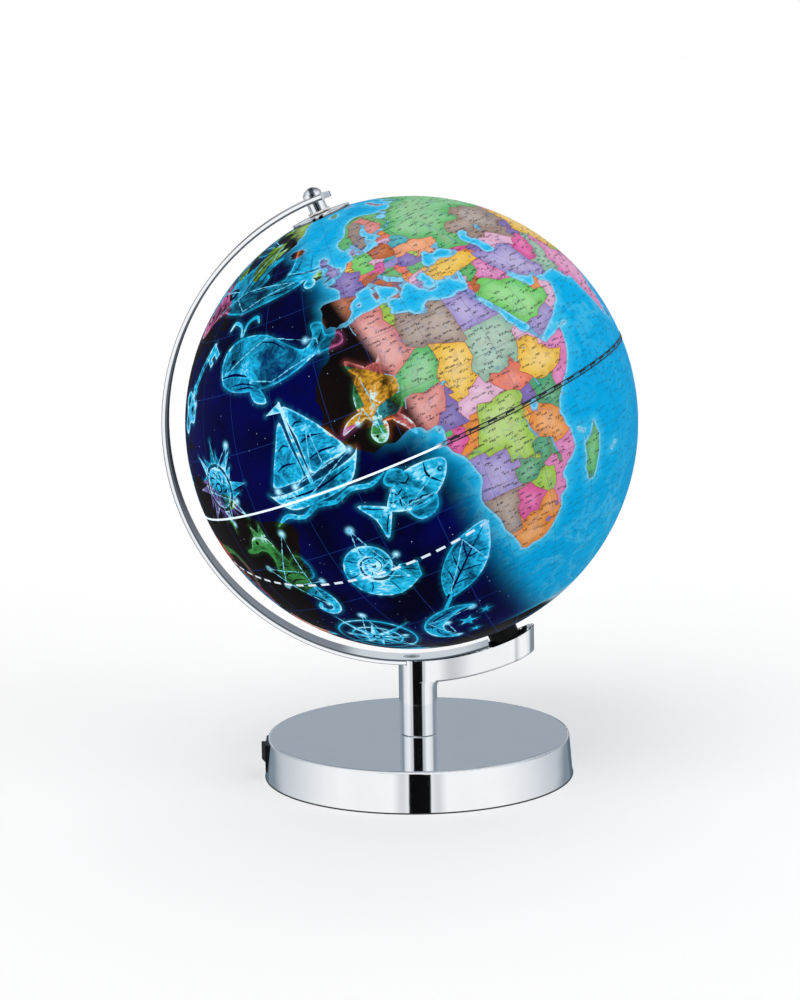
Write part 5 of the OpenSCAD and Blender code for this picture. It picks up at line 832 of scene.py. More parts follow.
# A place in each country or state, by the colour that the map gives it.
SEEDS = {
    "rose": "3 28, 8 9.5, 26.5 63.5, 138 36.3, 143 43.5, 131.2 32.5, 133.5 33.8, 2.3 9.5, -9.3 6.2, -79 22, -13.3 27",
    "taupe": "17 27, 17 -22, 67 48, 15.5 62.5, -64.5 -17",
    "lavender": "28 26.5, 33.7 29.7, 17.5 -12, 54 32.5, 47.5 15.8, 126.8 40.3, 101 15.5, -1.5 52.6, 28.2 -29.7, "
                "-65.5 7,"
                "19.3 47.1",
    "green": "9 17, 46.7 -19, 50 57, 100 62, 38.3 35.2, 63.5 41.8, -52 -9, 17.8 44.2, 25 42.7, 144 -6.3, 171 -43.5,"
             "175.7 -38.6, -5.5 7.5, -102 23.5, 105.5 21.3, 10.4 1.6, 144 -37",
    "jade": "38 0.5, 25.5 -14.5, 33.8 -13, -11 20, 90 24, -56 -33",
    "sage": "30 15, 68.5 28.5, 102.5 20, 144 -22",
    "yellow": "18.5 14, 39 8.5, 33 39, 104 35, -2.5 18, 102 -1.5, 113.5 -1, 120.5 -2.2, 110 -7.3, 138 -4.5, "
              "29.9 -2.5,"
              "4.8 50.4, -11.8 8.5, -58.5 -23.5, -78.2 -1.5",
    "red": "30 7.3, 8.2 46.9, 20.9 44, 25 57, 34.9 31.2, -75.5 -10",
    "magenta": "11.8 -0.8, 23.5 -22, 65.5 33.8, 43.5 42.1, 102.3 4, 113.5 2.5, 14.5 47.4, -90.4 15.5, -71 -30",
    "pink": "38 -14, 33 -23.5, 45.5 4, 43.5 33, 78.5 22.5, 93.5 26.3, 8.5 61, -6 32.5, -105 58, 103 46.5, "
            "-11 10.9, 121 -26",
    "violet": "32.4 1.5, 12.5 5.5, 2.5 47, 24.8 45.9, 75 41.5, 71 38.7, 47.8 40.3, 80.7 7.5, 31.5 -26.5, -59 5",
    "lime": "23 -3, 22 2, -41 74, 29.8 -19, 9.5 34, -8 53.2, 28.5 47.2, 108 13, -86.5 14.8, 84 28.2, -53 4",
    "leaf": "45 24.5, 10.3 51.3, 133 -20",
    "orange": "15.5 0.5, 34.5 -6.5, 24.5 -30, -14.5 14.3, -1.2 7.8, -8 39.7, 5.6 52.2, 16.5 45.4, 20 41.1, 44.8 40.4,"
              "54.5 23.6, 128 36.5, 121.3 16.8, 125 7.8, -100 40, -152 65, 25.7 58.7, -73 4, 105 12.8",
    "peach": "31 49.2, 96 21, 134 -29, -19 65, -66 -35, -67.5 -54.2",
    "brown": "19.3 52, 12.3 43, -4 40, 36.3 31",
    "teal": "28 53.4, 19.5 48.7, 19.2 42.8, -1.5 12.3, 90.5 27.1, -80.5 8.4, -56 4",
    "pale": "20.5 6.5, 38 16, 56.5 21.3, 59.5 39.3, 22 39.6, -13 25, 9.3 56, 24 55.3, 42.5 11.6, 147 -32, -85 12.8,"
            "15.3 49.8, 35.9 34",
    "snow": "0 -85",
}


# The glowing figures of the chart. A part is a tone, a way to draw it and its points in millimetres.
# Ways: blob (closed, smooth), poly (closed, straight), line (open, smooth, with its half width), disc.
def numbers(text):
    return [tuple(float(v) for v in p.split()) for p in text.split(",")]


def ring(r, n, start=0.0, cx=0.0, cy=0.0):
    return [(cx + r * math.cos(start + 2 * math.pi * i / n),
             cy + r * math.sin(start + 2 * math.pi * i / n)) for i in range(n)]


def mirrored(parts):
    return [(t, k, [(-p[0],) + tuple(p[1:]) for p in numbers(q)] if isinstance(q, str)
             else [(-p[0],) + tuple(p[1:]) for p in q]) for t, k, q in parts]


def sun():
    parts = []
    for i in range(16):
        a = 2 * math.pi * i / 16
        far = 22.0 if i % 2 == 0 else 16.5
        bend = 0.16 if i % 2 else 0.0
        c, s = math.cos(a), math.sin(a)
        tip = (far * math.cos(a + bend), far * math.sin(a + bend))
        w = 2.2
        parts.append((0.95 if i % 2 == 0 else 0.6, "poly",
                      [(11.2 * c + w * s, 11.2 * s - w * c), tip, (11.2 * c - w * s, 11.2 * s + w * c)]))
    parts.append((0.9, "disc", [(0, 0, 9.8)]))
    for i in range(10):
        a = 2 * math.pi * i / 10
        parts.append((0.0, "line", [(q * math.cos(a + t), q * math.sin(a + t), w)
                                    for q, t, w in ((4.2, 0.0, 0.15), (6.1, 0.3, 0.5), (8.0, 0.6, 0.15))]))
    parts.append((0.0, "disc", [(0, 0, 2.6)]))
    parts.append((1.0, "disc", [(0, 0, 1.6)]))
    return parts


def wind_rose():
    parts = []
    for i in range(8):
        a = 2 * math.pi * i / 8
        far = 24.0 if i % 2 == 0 else 15.0
        c, s = math.cos(a), math.sin(a)
        tip, side = (far * c, far * s), 4.4
        for sign, tone in ((1, 0.95), (-1, 0.42)):
            foot = (side * math.cos(a + sign * math.pi / 8) * 1.25, side * math.sin(a + sign * math.pi / 8) * 1.25)
            parts.append((tone, "poly", [(0, 0), foot, tip]))
    for r in (11.6, 18.4):
        hoop = ring(r, 28)
        parts.append((0.7, "line", [(x, y, 0.42) for x, y in hoop[:15]]))
        parts.append((0.7, "line", [(x, y, 0.42) for x, y in hoop[14:] + hoop[:1]]))
    parts.append((0.0, "disc", [(0, 0, 2.3)]))
    parts.append((1.0, "disc", [(0, 0, 1.3)]))
    return parts


def coiled_snail():
    parts = []
    turn = [(i / 22.0) * 5.6 * math.pi for i in range(23)]
    way = [(1.15 * math.exp(0.158 * t) * math.cos(t), 1.15 * math.exp(0.158 * t) * math.sin(t),
            0.30 + 0.34 * 1.15 * math.exp(0.158 * t)) for t in turn]
    parts.append((0.85, "line", way))
    for i in range(9, 23):
        t = turn[i]
        r = 1.15 * math.exp(0.158 * t)
        c, s = math.cos(t), math.sin(t)
        parts.append((0.0, "line", [(r * 0.74 * c, r * 0.74 * s, 0.12), (r * c - 0.5 * s, r * s + 0.5 * c, 0.34),
                                    (r * 1.26 * c, r * 1.26 * s, 0.12)]))
    return parts


def wheel():
    parts = [(0.85, "line", [(x, y, 1.25) for x, y in ring(14.5, 24)[:13]]),
             (0.85, "line", [(x, y, 1.25) for x, y in (ring(14.5, 24) * 2)[12:25]]), (0.95, "disc", [(0, 0, 4.0)])]
    for i in range(8):
        a = 2 * math.pi * i / 8 + 0.2
        c, s = math.cos(a), math.sin(a)
        parts.append((0.75, "line", [(3 * c, 3 * s, 1.0), (12 * c, 12 * s, 0.8), (17 * c, 17 * s, 1.1),
                                     (20.5 * c, 20.5 * s, 1.5)]))
    parts.append((0.0, "disc", [(0, 0, 1.7)]))
    return parts


FIGURES = {
    "fish": [
        (0.75, "blob", "-24 0, -17 7.5, -4 11, 9 7, 16 1.6, 16 -1.6, 8 -7, -4 -10, -17 -6"),
        (0.92, "blob", "15 0, 20 6, 28 12, 25.5 0, 28 -12, 20 -6"),
        (0.6, "blob", "-8 10.5, -3 17, 7 16, 9 7.8, 0 11"), (0.6, "blob", "-4 -10, 1 -16, 8 -13, 6 -8.2"),
        (0.95, "blob", "-10 0, -2 3, 3 -1, -3 -4"), (0, "line", "-14.5 8 .2, -11.5 0 .7, -14.5 -6.5 .2"),
        (0, "disc", "-18.5 2 1.5"), (1, "disc", "-18.7 2.2 .7"), (0, "line", "-5 8 .2, -1 6 .5, 1 9 .2"),
        (0, "line", "1 6 .2, 5 4 .5, 7 7 .2"), (0, "line", "4 1 .2, 8 0 .5, 10 4 .2"),
        (0, "line", "3 -4 .2, 7 -3 .5, 9 -6 .2"),
        (0, "line", "-4 -6 .2, 0 -5 .5, 2 -8 .2"), (0, "line", "9 -1 .2, 12 -1 .5, 13 -3 .2"),
        (0, "line", "18 2 .2, 22 5 .4, 26 9 .2"), (0, "line", "18 -2 .2, 22 -5 .4, 26 -9 .2"),
        (0, "line", "18 0 .2, 23 0 .4")],
    "whale": [
        (0.8, "blob", "-27 -2, -25 8, -15 13, 0 12, 12 6, 20 3, 24 8, 22 14, 27 15, 30 9, 36 10, 38 5, 32 2, 26 0,"
                      "18 -6, 6 -11, -10 -12, -22 -9"),
        (0.5, "blob", "-26 -4, -14 -5, -2 -9, 6 -11, -10 -12, -22 -9"), (0.6, "blob", "-8 -9, -3 -10, 2 -18, -5 -17"),
        (0, "disc", "-19 3 1.2"), (0, "line", "-26 -3 .3, -18 -3 .7, -10 -5 .3"),
        (0, "line", "-20 -8 .15, -12 -8 .4, -4 -10 .15"),
        (0, "line", "-17 -10 .15, -10 -10 .4, -5 -11 .15"),
        (0.9, "line", "-16 14 .5, -17 19 .7, -22 22 .9, -25 19 .4"),
        (0.9, "line", "-15 14 .5, -13 20 .7, -8 22 .9, -6 19 .4"), (0, "line", "24 3 .15, 27 7 .4, 28 11 .15"),
        (0, "line", "-4 9 .15, 4 8 .4, 11 4 .15")],
    "dove": [
        (0.8, "blob", "-22 4, -17 7, -11 4, -2 3, 8 -2, 22 -3, 29 -8, 19 -11, 8 -11, -3 -9, -12 -3, -16 1"),
        (0.95, "blob", "-8 2, -6 12, 2 21, 14 27, 11 20, 17 20, 12 14, 17 13, 10 8, 11 3, 3 0"),
        (0.6, "blob", "-5 -1, -13 8, -18 19, -19 27, -12 23, -8 26, -6 18, -2 19, -2 10, 2 3"),
        (0, "disc", "-17.5 4.7 .8"), (0.7, "poly", "-22 5, -27 3, -21.5 2.4"),
        (0, "line", "-3 4 .2, 2 10 .5, 9 18 .2"),
        (0, "line", "1 3 .2, 5 8 .5, 13 16 .2"), (0, "line", "5 2 .2, 8 5 .5, 12 10 .2"),
        (0, "line", "-6 4 .2, -10 12 .5, -14 21 .2"),
        (0, "line", "-3 6 .2, -6 12 .4, -8 20 .2"), (0, "line", "14 -6 .2, 20 -6 .4, 25 -8 .2"),
        (0, "line", "12 -8 .2, 17 -9 .4, 22 -9 .2")],
    "turtle": [
        (0.62, "blob", "-14 0, -11 9, -2 13, 9 11, 15 3, 14 -5, 7 -11, -4 -12, -12 -8"),
        (0.95, "poly", "-5 0, -2.4 4.6, 3 4.6, 5.6 0, 3 -4.6, -2.4 -4.6"),
        (0.8, "poly", "-3 5.6, -7 9.6, 0 12, 1 5.6"),
        (0.8, "poly", "2 5.6, 2 11.8, 9 9.6, 4 5"), (0.8, "poly", "6 .8, 10 8.6, 14 2, 13.6 .6"),
        (0.8, "poly", "6 -.8, 13.4 -1, 11.6 -7, 8 -6"),
        (0.8, "poly", "4 -5, 7.4 -7, 6 -10, 1.6 -11.6, 1 -5.6"),
        (0.8, "poly", "-.4 -5.6, -.6 -11.8, -6.6 -9.6, -3 -5.4"),
        (0.8, "poly", "-6 -.6, -4 -4.6, -8.6 -8.6, -12.8 -1"), (0.8, "poly", "-6 .6, -12.8 1, -8.4 8.6, -4 4.8"),
        (0.9, "blob", "-14 3, -20 5, -24 2, -24 -2, -20 -4, -14 -3"), (0, "disc", "-21 1.8 .8"),
        (0.75, "blob", "-9 10, -14 17, -20 19, -16 13, -12 7"),
        (0.75, "blob", "-10 -9, -15 -16, -21 -18, -17 -12, -13 -6"),
        (0.75, "blob", "9 10, 13 16, 17 17, 15 11, 13 7"), (0.75, "blob", "9 -9, 12 -15, 16 -16, 15 -10, 12 -6"),
        (0.75, "poly", "15 1.4, 20 0, 15 -1.4")],
    "boat": [
        (0.8, "blob", "-20 -8, -22 -7, -16 -15, -8 -17, 8 -17, 16 -14, 22 -5, 19 -7, 8 -9, -10 -9.4"),
        (0.95, "blob", "1 -6, 1 8, -1 22, 8 14, 15 4, 18 -4, 8 -5"),
        (0.65, "blob", "-3 -6, -3 6, -4 17, -10 8, -16 -1, -18 -5, -10 -6.4"),
        (0.9, "line", "-1 -9 .8, -1 8 .7, -1.4 24 .5"), (0.9, "poly", "-1.4 24, -9 21.6, -1.6 20"),
        (0, "line", "2 -1 .15, 9 0 .45, 15 -1 .15"), (0, "line", "2 6 .15, 6 7 .45, 11 6 .15"),
        (0, "line", "1 13 .15, 3 14 .4, 6 13 .15"),
        (0, "line", "-4 0 .15, -9 1 .45, -13 0 .15"), (0, "line", "-4 7 .15, -6 8 .4, -9 7 .15"),
        (0, "line", "-15 -11 .2, 0 -12.4 .5, 16 -10 .2"),
        (0.55, "line", "-26 -19 .3, -19 -17 1, -12 -20 .9, -4 -18 1, 4 -20 .9, 12 -18 1, 20 -20 .9, 27 -18 .3")],
    "crescent": [
        (0.9, "blob", "6 19, -6 18, -15 10, -18 0, -15 -10, -6 -18, 6 -19, -1 -13, -6 -5, -6.6 1, -5 7, -1 14"),
        (0, "line", "-4 15 .2, -11 8 .6, -14 0 .5, -12 -7 .2"), (0, "line", "-1 -15.6 .2, -7 -12 .5, -10 -6 .2")] + [
        (t, "poly", [(cx + (r if i % 2 == 0 else r * 0.42) * math.sin(math.pi * i / 5),
                      cy + (r if i % 2 == 0 else r * 0.42) * math.cos(math.pi * i / 5)) for i in range(10)])
        for t, cx, cy, r in ((1.0, 6, 2, 5.4), (0.8, 14, 12, 3.4), (0.8, 13, -10, 3.0))],
    "sea_horse": [
        (0.85, "line", "-14 19 .9, -9 18.4 1.6, -4 20 3.4, 1 18 3.8, 2 13 3, 2 8 4.4, 0 2 5.8, 1 -5 4.8, "
                       "4 -11 3.2, 5 -17 2.4,"
                       "2 -22 1.9, -3 -22 1.5, -5 -18 1.2, -2 -16 .8"),
        (0.6, "blob", "5 6, 12 8, 14 2, 11 -4, 6 -3"), (0, "disc", "-3.6 20.6 1"),
        (0.7, "poly", "-3 23, -1 28, 1 23.4, 5 27, 4.6 21"),
        (0, "line", "-3 6 .15, 0 7 .45, 4 5 .15"), (0, "line", "-4 2 .15, 0 3 .45, 5 1 .15"),
        (0, "line", "-4 -2 .15, 0 -1 .45, 5 -3 .15"),
        (0, "line", "-2 -6 .15, 2 -5 .45, 6 -8 .15"), (0, "line", "1 -11 .15, 4 -10 .4, 7 -12 .15"),
        (0, "line", "3 -15 .15, 5 -14.6 .4, 7 -16 .15"),
        (0, "line", "7 5 .15, 10 4 .4, 13 4 .15"), (0, "line", "7 1 .15, 10 1 .4, 13 0 .15")],
    "leaf": [
        (0.8, "blob", "-24 -6, -14 6, 0 12, 12 12, 25 6, 18 -2, 8 -8, -4 -11, -16 -10"),
        (0.7, "line", "-34 -12 1, -27 -9 .9, -20 -6 .7"), (0, "line", "-24 -6 .7, -8 -1 .6, 8 3 .5, 22 5 .2"),
        (0, "line", "-14 -3 .4, -10 3 .4, -8 7 .15"), (0, "line", "-6 0 .4, -2 6 .4, 1 10 .15"),
        (0, "line", "3 2 .4, 7 7 .4, 11 10 .15"),
        (0, "line", "-15 -3 .4, -9 -6 .4, -7 -9 .15"), (0, "line", "-6 0 .4, 0 -5 .4, 2 -8 .15"),
        (0, "line", "3 2 .4, 9 -2 .4, 12 -5 .15")],
    "jug": [
        (0.78, "blob", "-5 8, -12 2, -15 -7, -11 -16, -4 -19, 4 -19, 11 -16, 15 -7, 12 2, 5 8"),
        (0.9, "poly", "-5.4 7, -4 16, -9 20, 9 20, 4 16, 5.4 7"),
        (0.7, "line", "4 17 1.3, 13 18 1.3, 19 10 1.3, 16 1 1.2, 11 -3 1"),
        (0.7, "line", "-4 17 1.3, -13 18 1.3, -19 10 1.3, -16 1 1.2, -11 -3 1"),
        (0.6, "poly", "-7 -18, -9 -23, 9 -23, 7 -18"),
        (0, "line", "-11 1 .3, 0 -1 .8, 11 1 .3"), (0, "line", "-14 -8 .3, 0 -11 .8, 14 -8 .3"),
        (0, "line", "-10 -3 .2, -7 -6 .5, -4 -3 .4, -1 -7 .5,"
                      "2 -3 .4, 5 -6.6 .5, 8 -3 .4, 11 -6 .2"), (0, "line", "-5 12 .2, 0 11 .6, 5 12 .2")],
    "key": [
        (0.85, "line", "-6 0 1.7, 10 0 1.5, 25 0 1.5"),
        (0.95, "poly", "16 0, 16 -8, 19 -8, 19 -4.6, 22 -4.6, 22 -9, 25.6 -9, 25.6 0"),
        (0.85, "blob", "-7 0, -9 8, -16 11, -20 5, -27 4, -29 0, -27 -4, -20 -5, -16 -11, -9 -8"),
        (0, "disc", "-13 4.6 2.6"),
        (0, "disc", "-13 -4.6 2.6"), (0, "disc", "-22 0 2.4"), (0.7, "poly", "-4 -3.4, -1.6 -3.4, -1.6 3.4, -4 3.4")],
    "anchor": [
        (0.85, "line", "0 17 1.5, 0 0 1.8, 0 -19 2.2"), (0.85, "line", "-10 11 1, 0 11.4 1.6, 10 11 1"),
        (0.85, "line", "-19 -6 .8, -16 -14 1.8, -8 -19.4 2.4, 0 -21 2.8, 8 -19.4 2.4, 16 -14 1.8, 19 -6 .8"),
        (0.95, "poly", "-22 -9, -18.6 1, -13 -7.6"), (0.95, "poly", "22 -9, 18.6 1, 13 -7.6"),
        (0.9, "disc", "0 20 4"), (0, "disc", "0 20 2"),
        (0.6, "line", "2 22 .7, 12 20 .8, 16 10 .8, 8 4 .8, -6 0 .8, -8 -8 .7, -1 -12 .5")],
    "bell": [
        (0.82, "blob", "-3 15, -9 11, -10 0, -13 -8, -19 -13, -8 -15, 8 -15, 19 -13, 13 -8, 10 0, 9 11, 3 15"),
        (0.9, "disc", "0 18 3.4"), (0, "disc", "0 18 1.5"), (0.95, "disc", "0 -18 3.2"),
        (0, "line", "-13 -8 .2, 0 -10 .7, 13 -8 .2"),
        (0, "line", "-9 6 .2, 0 4.6 .6, 9 6 .2"), (0, "line", "-6 0 .3, -7 -4 .5, -9 -7 .2"),
        (0, "line", "0 2 .3, 0 -3 .5, 0 -8 .2"),
        (0, "line", "6 0 .3, 7 -4 .5, 9 -7 .2")],
    "tree": [
        (0.7, "line", "0 -22 2.6, -1 -12 1.7, 1 -2 1.4, 0 8 1"),
        (0.82, "blob", "-4 22, -13 19, -14 11, -21 8, -19 -1, -12 -4, -5 -1, 0 -5, 6 -1,"
                       "13 -4, 20 0, 20 9, 14 11, 12 19, 4 22"),
        (0, "line", "0 -4 .6, 0 6 .5, -1 14 .2"), (0, "line", "0 2 .4, -6 7 .4, -10 13 .15"),
        (0, "line", "0 4 .4, 6 9 .4, 9 14 .15"),
        (0, "line", "-1 -1 .4, -8 1 .4, -14 4 .15"), (0, "line", "1 0 .4, 8 3 .4, 14 5 .15"),
        (0.6, "line", "-9 -24 .5, 0 -22 1.4, 9 -24 .5")],
    "sun": sun(), "wind_rose": wind_rose(), "coiled_snail": coiled_snail(), "wheel": wheel(),
}
wing = [(0.85, "blob", "1 2, 5 14, 14 21, 22 19, 22 9, 13 1"),
        (0.65, "blob", "1 0, 12 -1, 18 -8, 15 -17, 8 -17, 3 -8"),
        (0, "blob", "9 8, 13 14, 18 15, 18 9"), (1, "disc", "14.6 11.6 1.7"), (0, "disc", "11 -8.6 3"),
        (1, "disc", "11 -8.6 1.4"),
        (0, "line", "3 2 .4, 8 5 .4, 12 5 .15"), (0, "line", "3 -3 .4, 6 -8 .4, 7 -13 .15")]
FIGURES["butterfly"] = wing + mirrored(wing) + [
    (0.95, "line", "0 9 1, 0 0 1.6, 0 -12 .6"), (0.9, "line", "0 9 .4, 3 15 .4, 8 18 .5"),
    (0.9, "line", "0 9 .4, -3 15 .4, -8 18 .5")]

# Which figure stands where: its name, longitude, latitude, turn in degrees and size.
SKY = (
    ("dove", -45, 56, 20, 1.05), ("bell", -9, 61, -10, 0.9), ("whale", -31, 35, -8, 1.0), ("key", -67, 34, 55, 0.85),
    ("sun", -57, 8, 0, 0.95), ("boat", -25, 9, 6, 1.1), ("turtle", -1, 17, 70, 0.85), ("fish", -3, -7, 200, 0.8),
    ("sea_horse", -46, -19, 12, 1.05), ("coiled_snail", -21, -22, 40, 0.85), ("wind_rose", -44, -47, 8, 0.95),
    ("leaf", 2, -31, 35, 0.85), ("jug", -76, -18, -12, 1.0), ("crescent", -12, -52, -35, 0.8),
    ("butterfly", -80, 58, -30, 0.95),
    ("anchor", -92, 12, 10, 1.0), ("wheel", -100, 38, 0, 1.0), ("fish", -84, -44, 20, 1.0),
    ("tree", -118, -8, 0, 1.0),
    ("boat", -128, 22, -8, 1.0), ("whale", -130, -36, 10, 1.0), ("sun", -135, 52, 0, 0.95),
    ("turtle", -154, 4, 40, 1.05),
    ("sea_horse", -158, 36, -14, 1.0), ("dove", -172, -24, -12, 1.05), ("coiled_snail", -168, -48, 0, 0.9),
    ("wind_rose", -180, 20, 12, 0.95), ("leaf", 168, 47, -30, 0.95), ("crescent", -65, 78, 40, 0.75),
    ("bell", 166, 72, 120, 0.8),
    ("jug", -60, -68, 150, 0.75), ("key", 176, -68, 10, 0.85), ("butterfly", 167, 0, 20, 0.8))


# How finely the print's mesh is made: the steps round the hole at a pole, the shell's thickness, the
# farthest distance that is measured to an outline, and the distance that stands for no line.
HOLE_STEPS = 48
SKIN = 1.6
REACH = 12.0
NO_LINE = 5.0


def on_ball(lon, lat):
    a, b = math.radians(lon - FRONT_LON), math.radians(lat)
    return np.array((math.cos(b) * math.cos(a), math.cos(b) * math.sin(a), math.sin(b)))


# How far a point lies into the day part: above 0 is day.
def daylight(p):
    xs, ys = zip(*DAY_EDGE)
    return p @ np.array(DAY_WAY) - np.interp(p[..., 2], xs, ys)


# A search tree of points, each with its number.
def tree_of(points, ids=None):
    tree = kdtree.KDTree(len(points))
    for i, p in enumerate(points):
        tree.insert(p, i if ids is None else int(ids[i]))
    tree.balance()
    return tree


def places(text):
    return [tuple(float(v) for v in q.split()) for q in text.split(",")]


# A fixed seed, so that each run roughens the coasts and borders alike.
noise.seed_set(1)


# A line through the given places, roughened by halving. The shift at a halfway point hangs on that
# point alone, so that two countries share one border.
def track(spots, rough, step=0.9, closed=False):
    if closed:
        spots = spots + spots[:1]
    out = []
    for (lon1, lat1), (lon2, lat2) in zip(spots, spots[1:]):
        straight = lon1 == lon2 or lat1 == lat2
        wild = 0.0 if straight else rough
        pieces = max(1, int(math.hypot((lon2 - lon1) * math.cos(math.radians((lat1 + lat2) / 2)), lat2 - lat1) / 5.0))
        if straight:
            pieces *= 2
        marks = [on_ball(lon1 + (lon2 - lon1) * k / pieces,
                         lat1 + (lat2 - lat1) * k / pieces) for k in range(pieces + 1)]
        for a, b in zip(marks, marks[1:]):
            if not out:
                out.append(a)
            out.extend(halve(a, b, wild, step))
    return out


def halve(a, b, wild, step):
    far = float(np.linalg.norm(a - b))
    if far * BALL <= step or (wild == 0.0 and far * BALL <= 6.0):
        return [b]
    mid = (a + b) / 2
    mid = mid / np.linalg.norm(mid)
    if wild:
        push = noise.noise_vector(Vector(mid * 61.7 + 3.3))
        mid = mid + np.array(push) * wild * far
        mid = mid / np.linalg.norm(mid)
    return halve(a, mid, wild, step) + halve(mid, b, wild, step)


# A smooth line through knots; each knot may carry more than a place.
def smooth(knots, closed, steps=5):
    k = np.array(knots, float)
    n = len(k)
    out = []
    for i in range(n if closed else n - 1):
        if closed:
            p0, p1, p2, p3 = k[i - 1], k[i], k[(i + 1) % n], k[(i + 2) % n]
        else:
            p1, p2 = k[i], k[i + 1]
            p0 = k[i - 1] if i else 2 * p1 - p2
            p3 = k[i + 2] if i + 2 < n else 2 * p2 - p1
        for s in range(steps):
            t = s / steps
            out.append(0.5 * (2 * p1 + (p2 - p0) * t + (2 * p0 - 5 * p1 + 4 * p2 - p3) * t * t
                              + (3 * p1 - p0 - 3 * p2 + p3) * t ** 3))
    if not closed:
        out.append(k[-1])
    return np.array(out)


# The closed outline, in millimetres, of one part of a figure.
def part_outline(kind, points, size):
    if kind == "poly":
        return np.array(points, float) * size
    if kind == "blob":
        return smooth(points, True, 4) * size
    if kind == "disc":
        x, y, r = points[0]
        return np.array(ring(r * size, 14, 0.1, x * size, y * size))
    way = smooth(points, False, 3)
    at, wide = way[:, :2] * size, np.maximum(way[:, 2] * size, 0.08)
    along = np.gradient(at, axis=0)
    along /= np.linalg.norm(along, axis=1)[:, None] + 1e-9
    out = np.stack([-along[:, 1], along[:, 0]], 1)
    left, right = at + out * wide[:, None], at - out * wide[:, None]
    tip, foot = at[-1] + along[-1] * wide[-1], at[0] - along[0] * wide[0]
    return np.concatenate([left, tip[None], right[::-1], foot[None]])


# Lays flat points in millimetres on the ball round a middle, turned by an angle.
def lay(points, lon, lat, turn):
    c = on_ball(lon, lat)
    east = np.cross((0, 0, 1), c)
    east /= np.linalg.norm(east)
    north = np.cross(c, east)
    t = math.radians(turn)
    x = points[:, 0] * math.cos(t) - points[:, 1] * math.sin(t)
    y = points[:, 0] * math.sin(t) + points[:, 1] * math.cos(t)
    far = np.hypot(x, y) + 1e-9
    ang = far / BALL
    return np.cos(ang)[:, None] * c + (np.sin(ang) / far)[:, None] * (x[:, None] * east + y[:, None] * north)


# Every line of the print: a kind and its points on the unit ball, with closed lines ending where they start.
def all_lines():
    lines, figures = [], []
    for ring_text in (AFRICA, EURASIA, NORTH_AMERICA, SOUTH_AMERICA, AUSTRALIA, ANTARCTICA) + tuple(ISLANDS):
        lines.append(("coast", track(places(ring_text), 0.10, closed=True)))
    for ring_text in LAKES:
        lines.append(("lake", track(places(ring_text), 0.10, closed=True)))
    for text in BORDERS:
        lines.append(("border", track(places(text), 0.05)))
    for name, lon, lat, turn, size in SKY:
        stars = []
        for tone, kind, points in FIGURES[name]:
            pts = numbers(points) if isinstance(points, str) else points
            flat = part_outline(kind, pts, size)
            on = lay(flat, lon, lat, turn)
            if daylight(on).min() > 0.08:
                continue
            figures.append((tone, on))
            lines.append(("figure", list(on) + [on[0]]))
            if kind == "blob" and tone > 0.5 and len(stars) < 9:
                stars.extend((np.array(p[:2]) * size * 0.86 for p in pts[::3]))
        if len(stars) < 3:
            stars = [np.array((math.cos(a * 2.4), math.sin(a * 2.4))) * size * (8 + 5 * a % 19) for a in range(6)]
        stars = stars[:7]
        on = lay(np.array(stars), lon, lat, turn)
        for a, b in zip(on, on[1:]):
            if daylight(np.array((a, b))).max() < 0.0:
                lines.append(("star", [a] + halve(a, b, 0.0, 6.0)))
        for i, s in enumerate(on):
            if daylight(s) < 0.02:
                dot = lay(np.array(ring(0.75 + 0.3 * (i % 3 == 0), 9)), *spot(s), 0)
                figures.append((1.25, dot))
                lines.append(("figure", list(dot) + [dot[0]]))
    return lines, figures


def spot(p):
    return math.degrees(math.atan2(p[1], p[0])) + FRONT_LON, math.degrees(math.asin(max(-1, min(1, p[2]))))


def to_plane(p, sign):
    return p[..., :2] / (1.0 + sign * p[..., 2:3])


def from_plane(q, sign):
    r2 = (q ** 2).sum(-1, keepdims=True)
    return np.concatenate([2 * q, sign * (1 - r2)], -1) / (1 + r2)


# Points spread evenly over the ball, with fewer in the day part.
def spread(gap_night, gap_day):
    n = int(4 * math.pi * BALL ** 2 / (0.87 * gap_night ** 2))
    i = np.arange(n) + 0.5
    z = 1 - 2 * i / n
    a = math.pi * (1 + 5 ** 0.5) * i
    r = np.sqrt(1 - z * z)
    p = np.stack([r * np.cos(a), r * np.sin(a), z], 1)
    keep = np.random.default_rng(7).random(n) < (gap_night / gap_day) ** 2
    return p[keep | (daylight(p) < 0.12)]


def inside(points, ring_pts):
    x, y = points[:, 0], points[:, 1]
    hit = np.zeros(len(points), bool)
    a, b = ring_pts, np.roll(ring_pts, -1, 0)
    for (x1, y1), (x2, y2) in zip(a, b):
        if y1 == y2:
            continue
        rows = np.nonzero((y1 > y) != (y2 > y))[0]
        if len(rows):
            hit[rows] ^= x[rows] < (x2 - x1) * (y[rows] - y1) / (y2 - y1) + x1
    return hit


# Joins the numbers that a list of pairs ties together.
def groups(n, pairs):
    root = list(range(n))

    def top(i):
        while root[i] != i:
            root[i] = root[root[i]]
            i = root[i]
        return i
    for a, b in pairs:
        ra, rb = top(a), top(b)
        if ra != rb:
            root[max(ra, rb)] = min(ra, rb)
    return np.array([top(i) for i in range(n)])


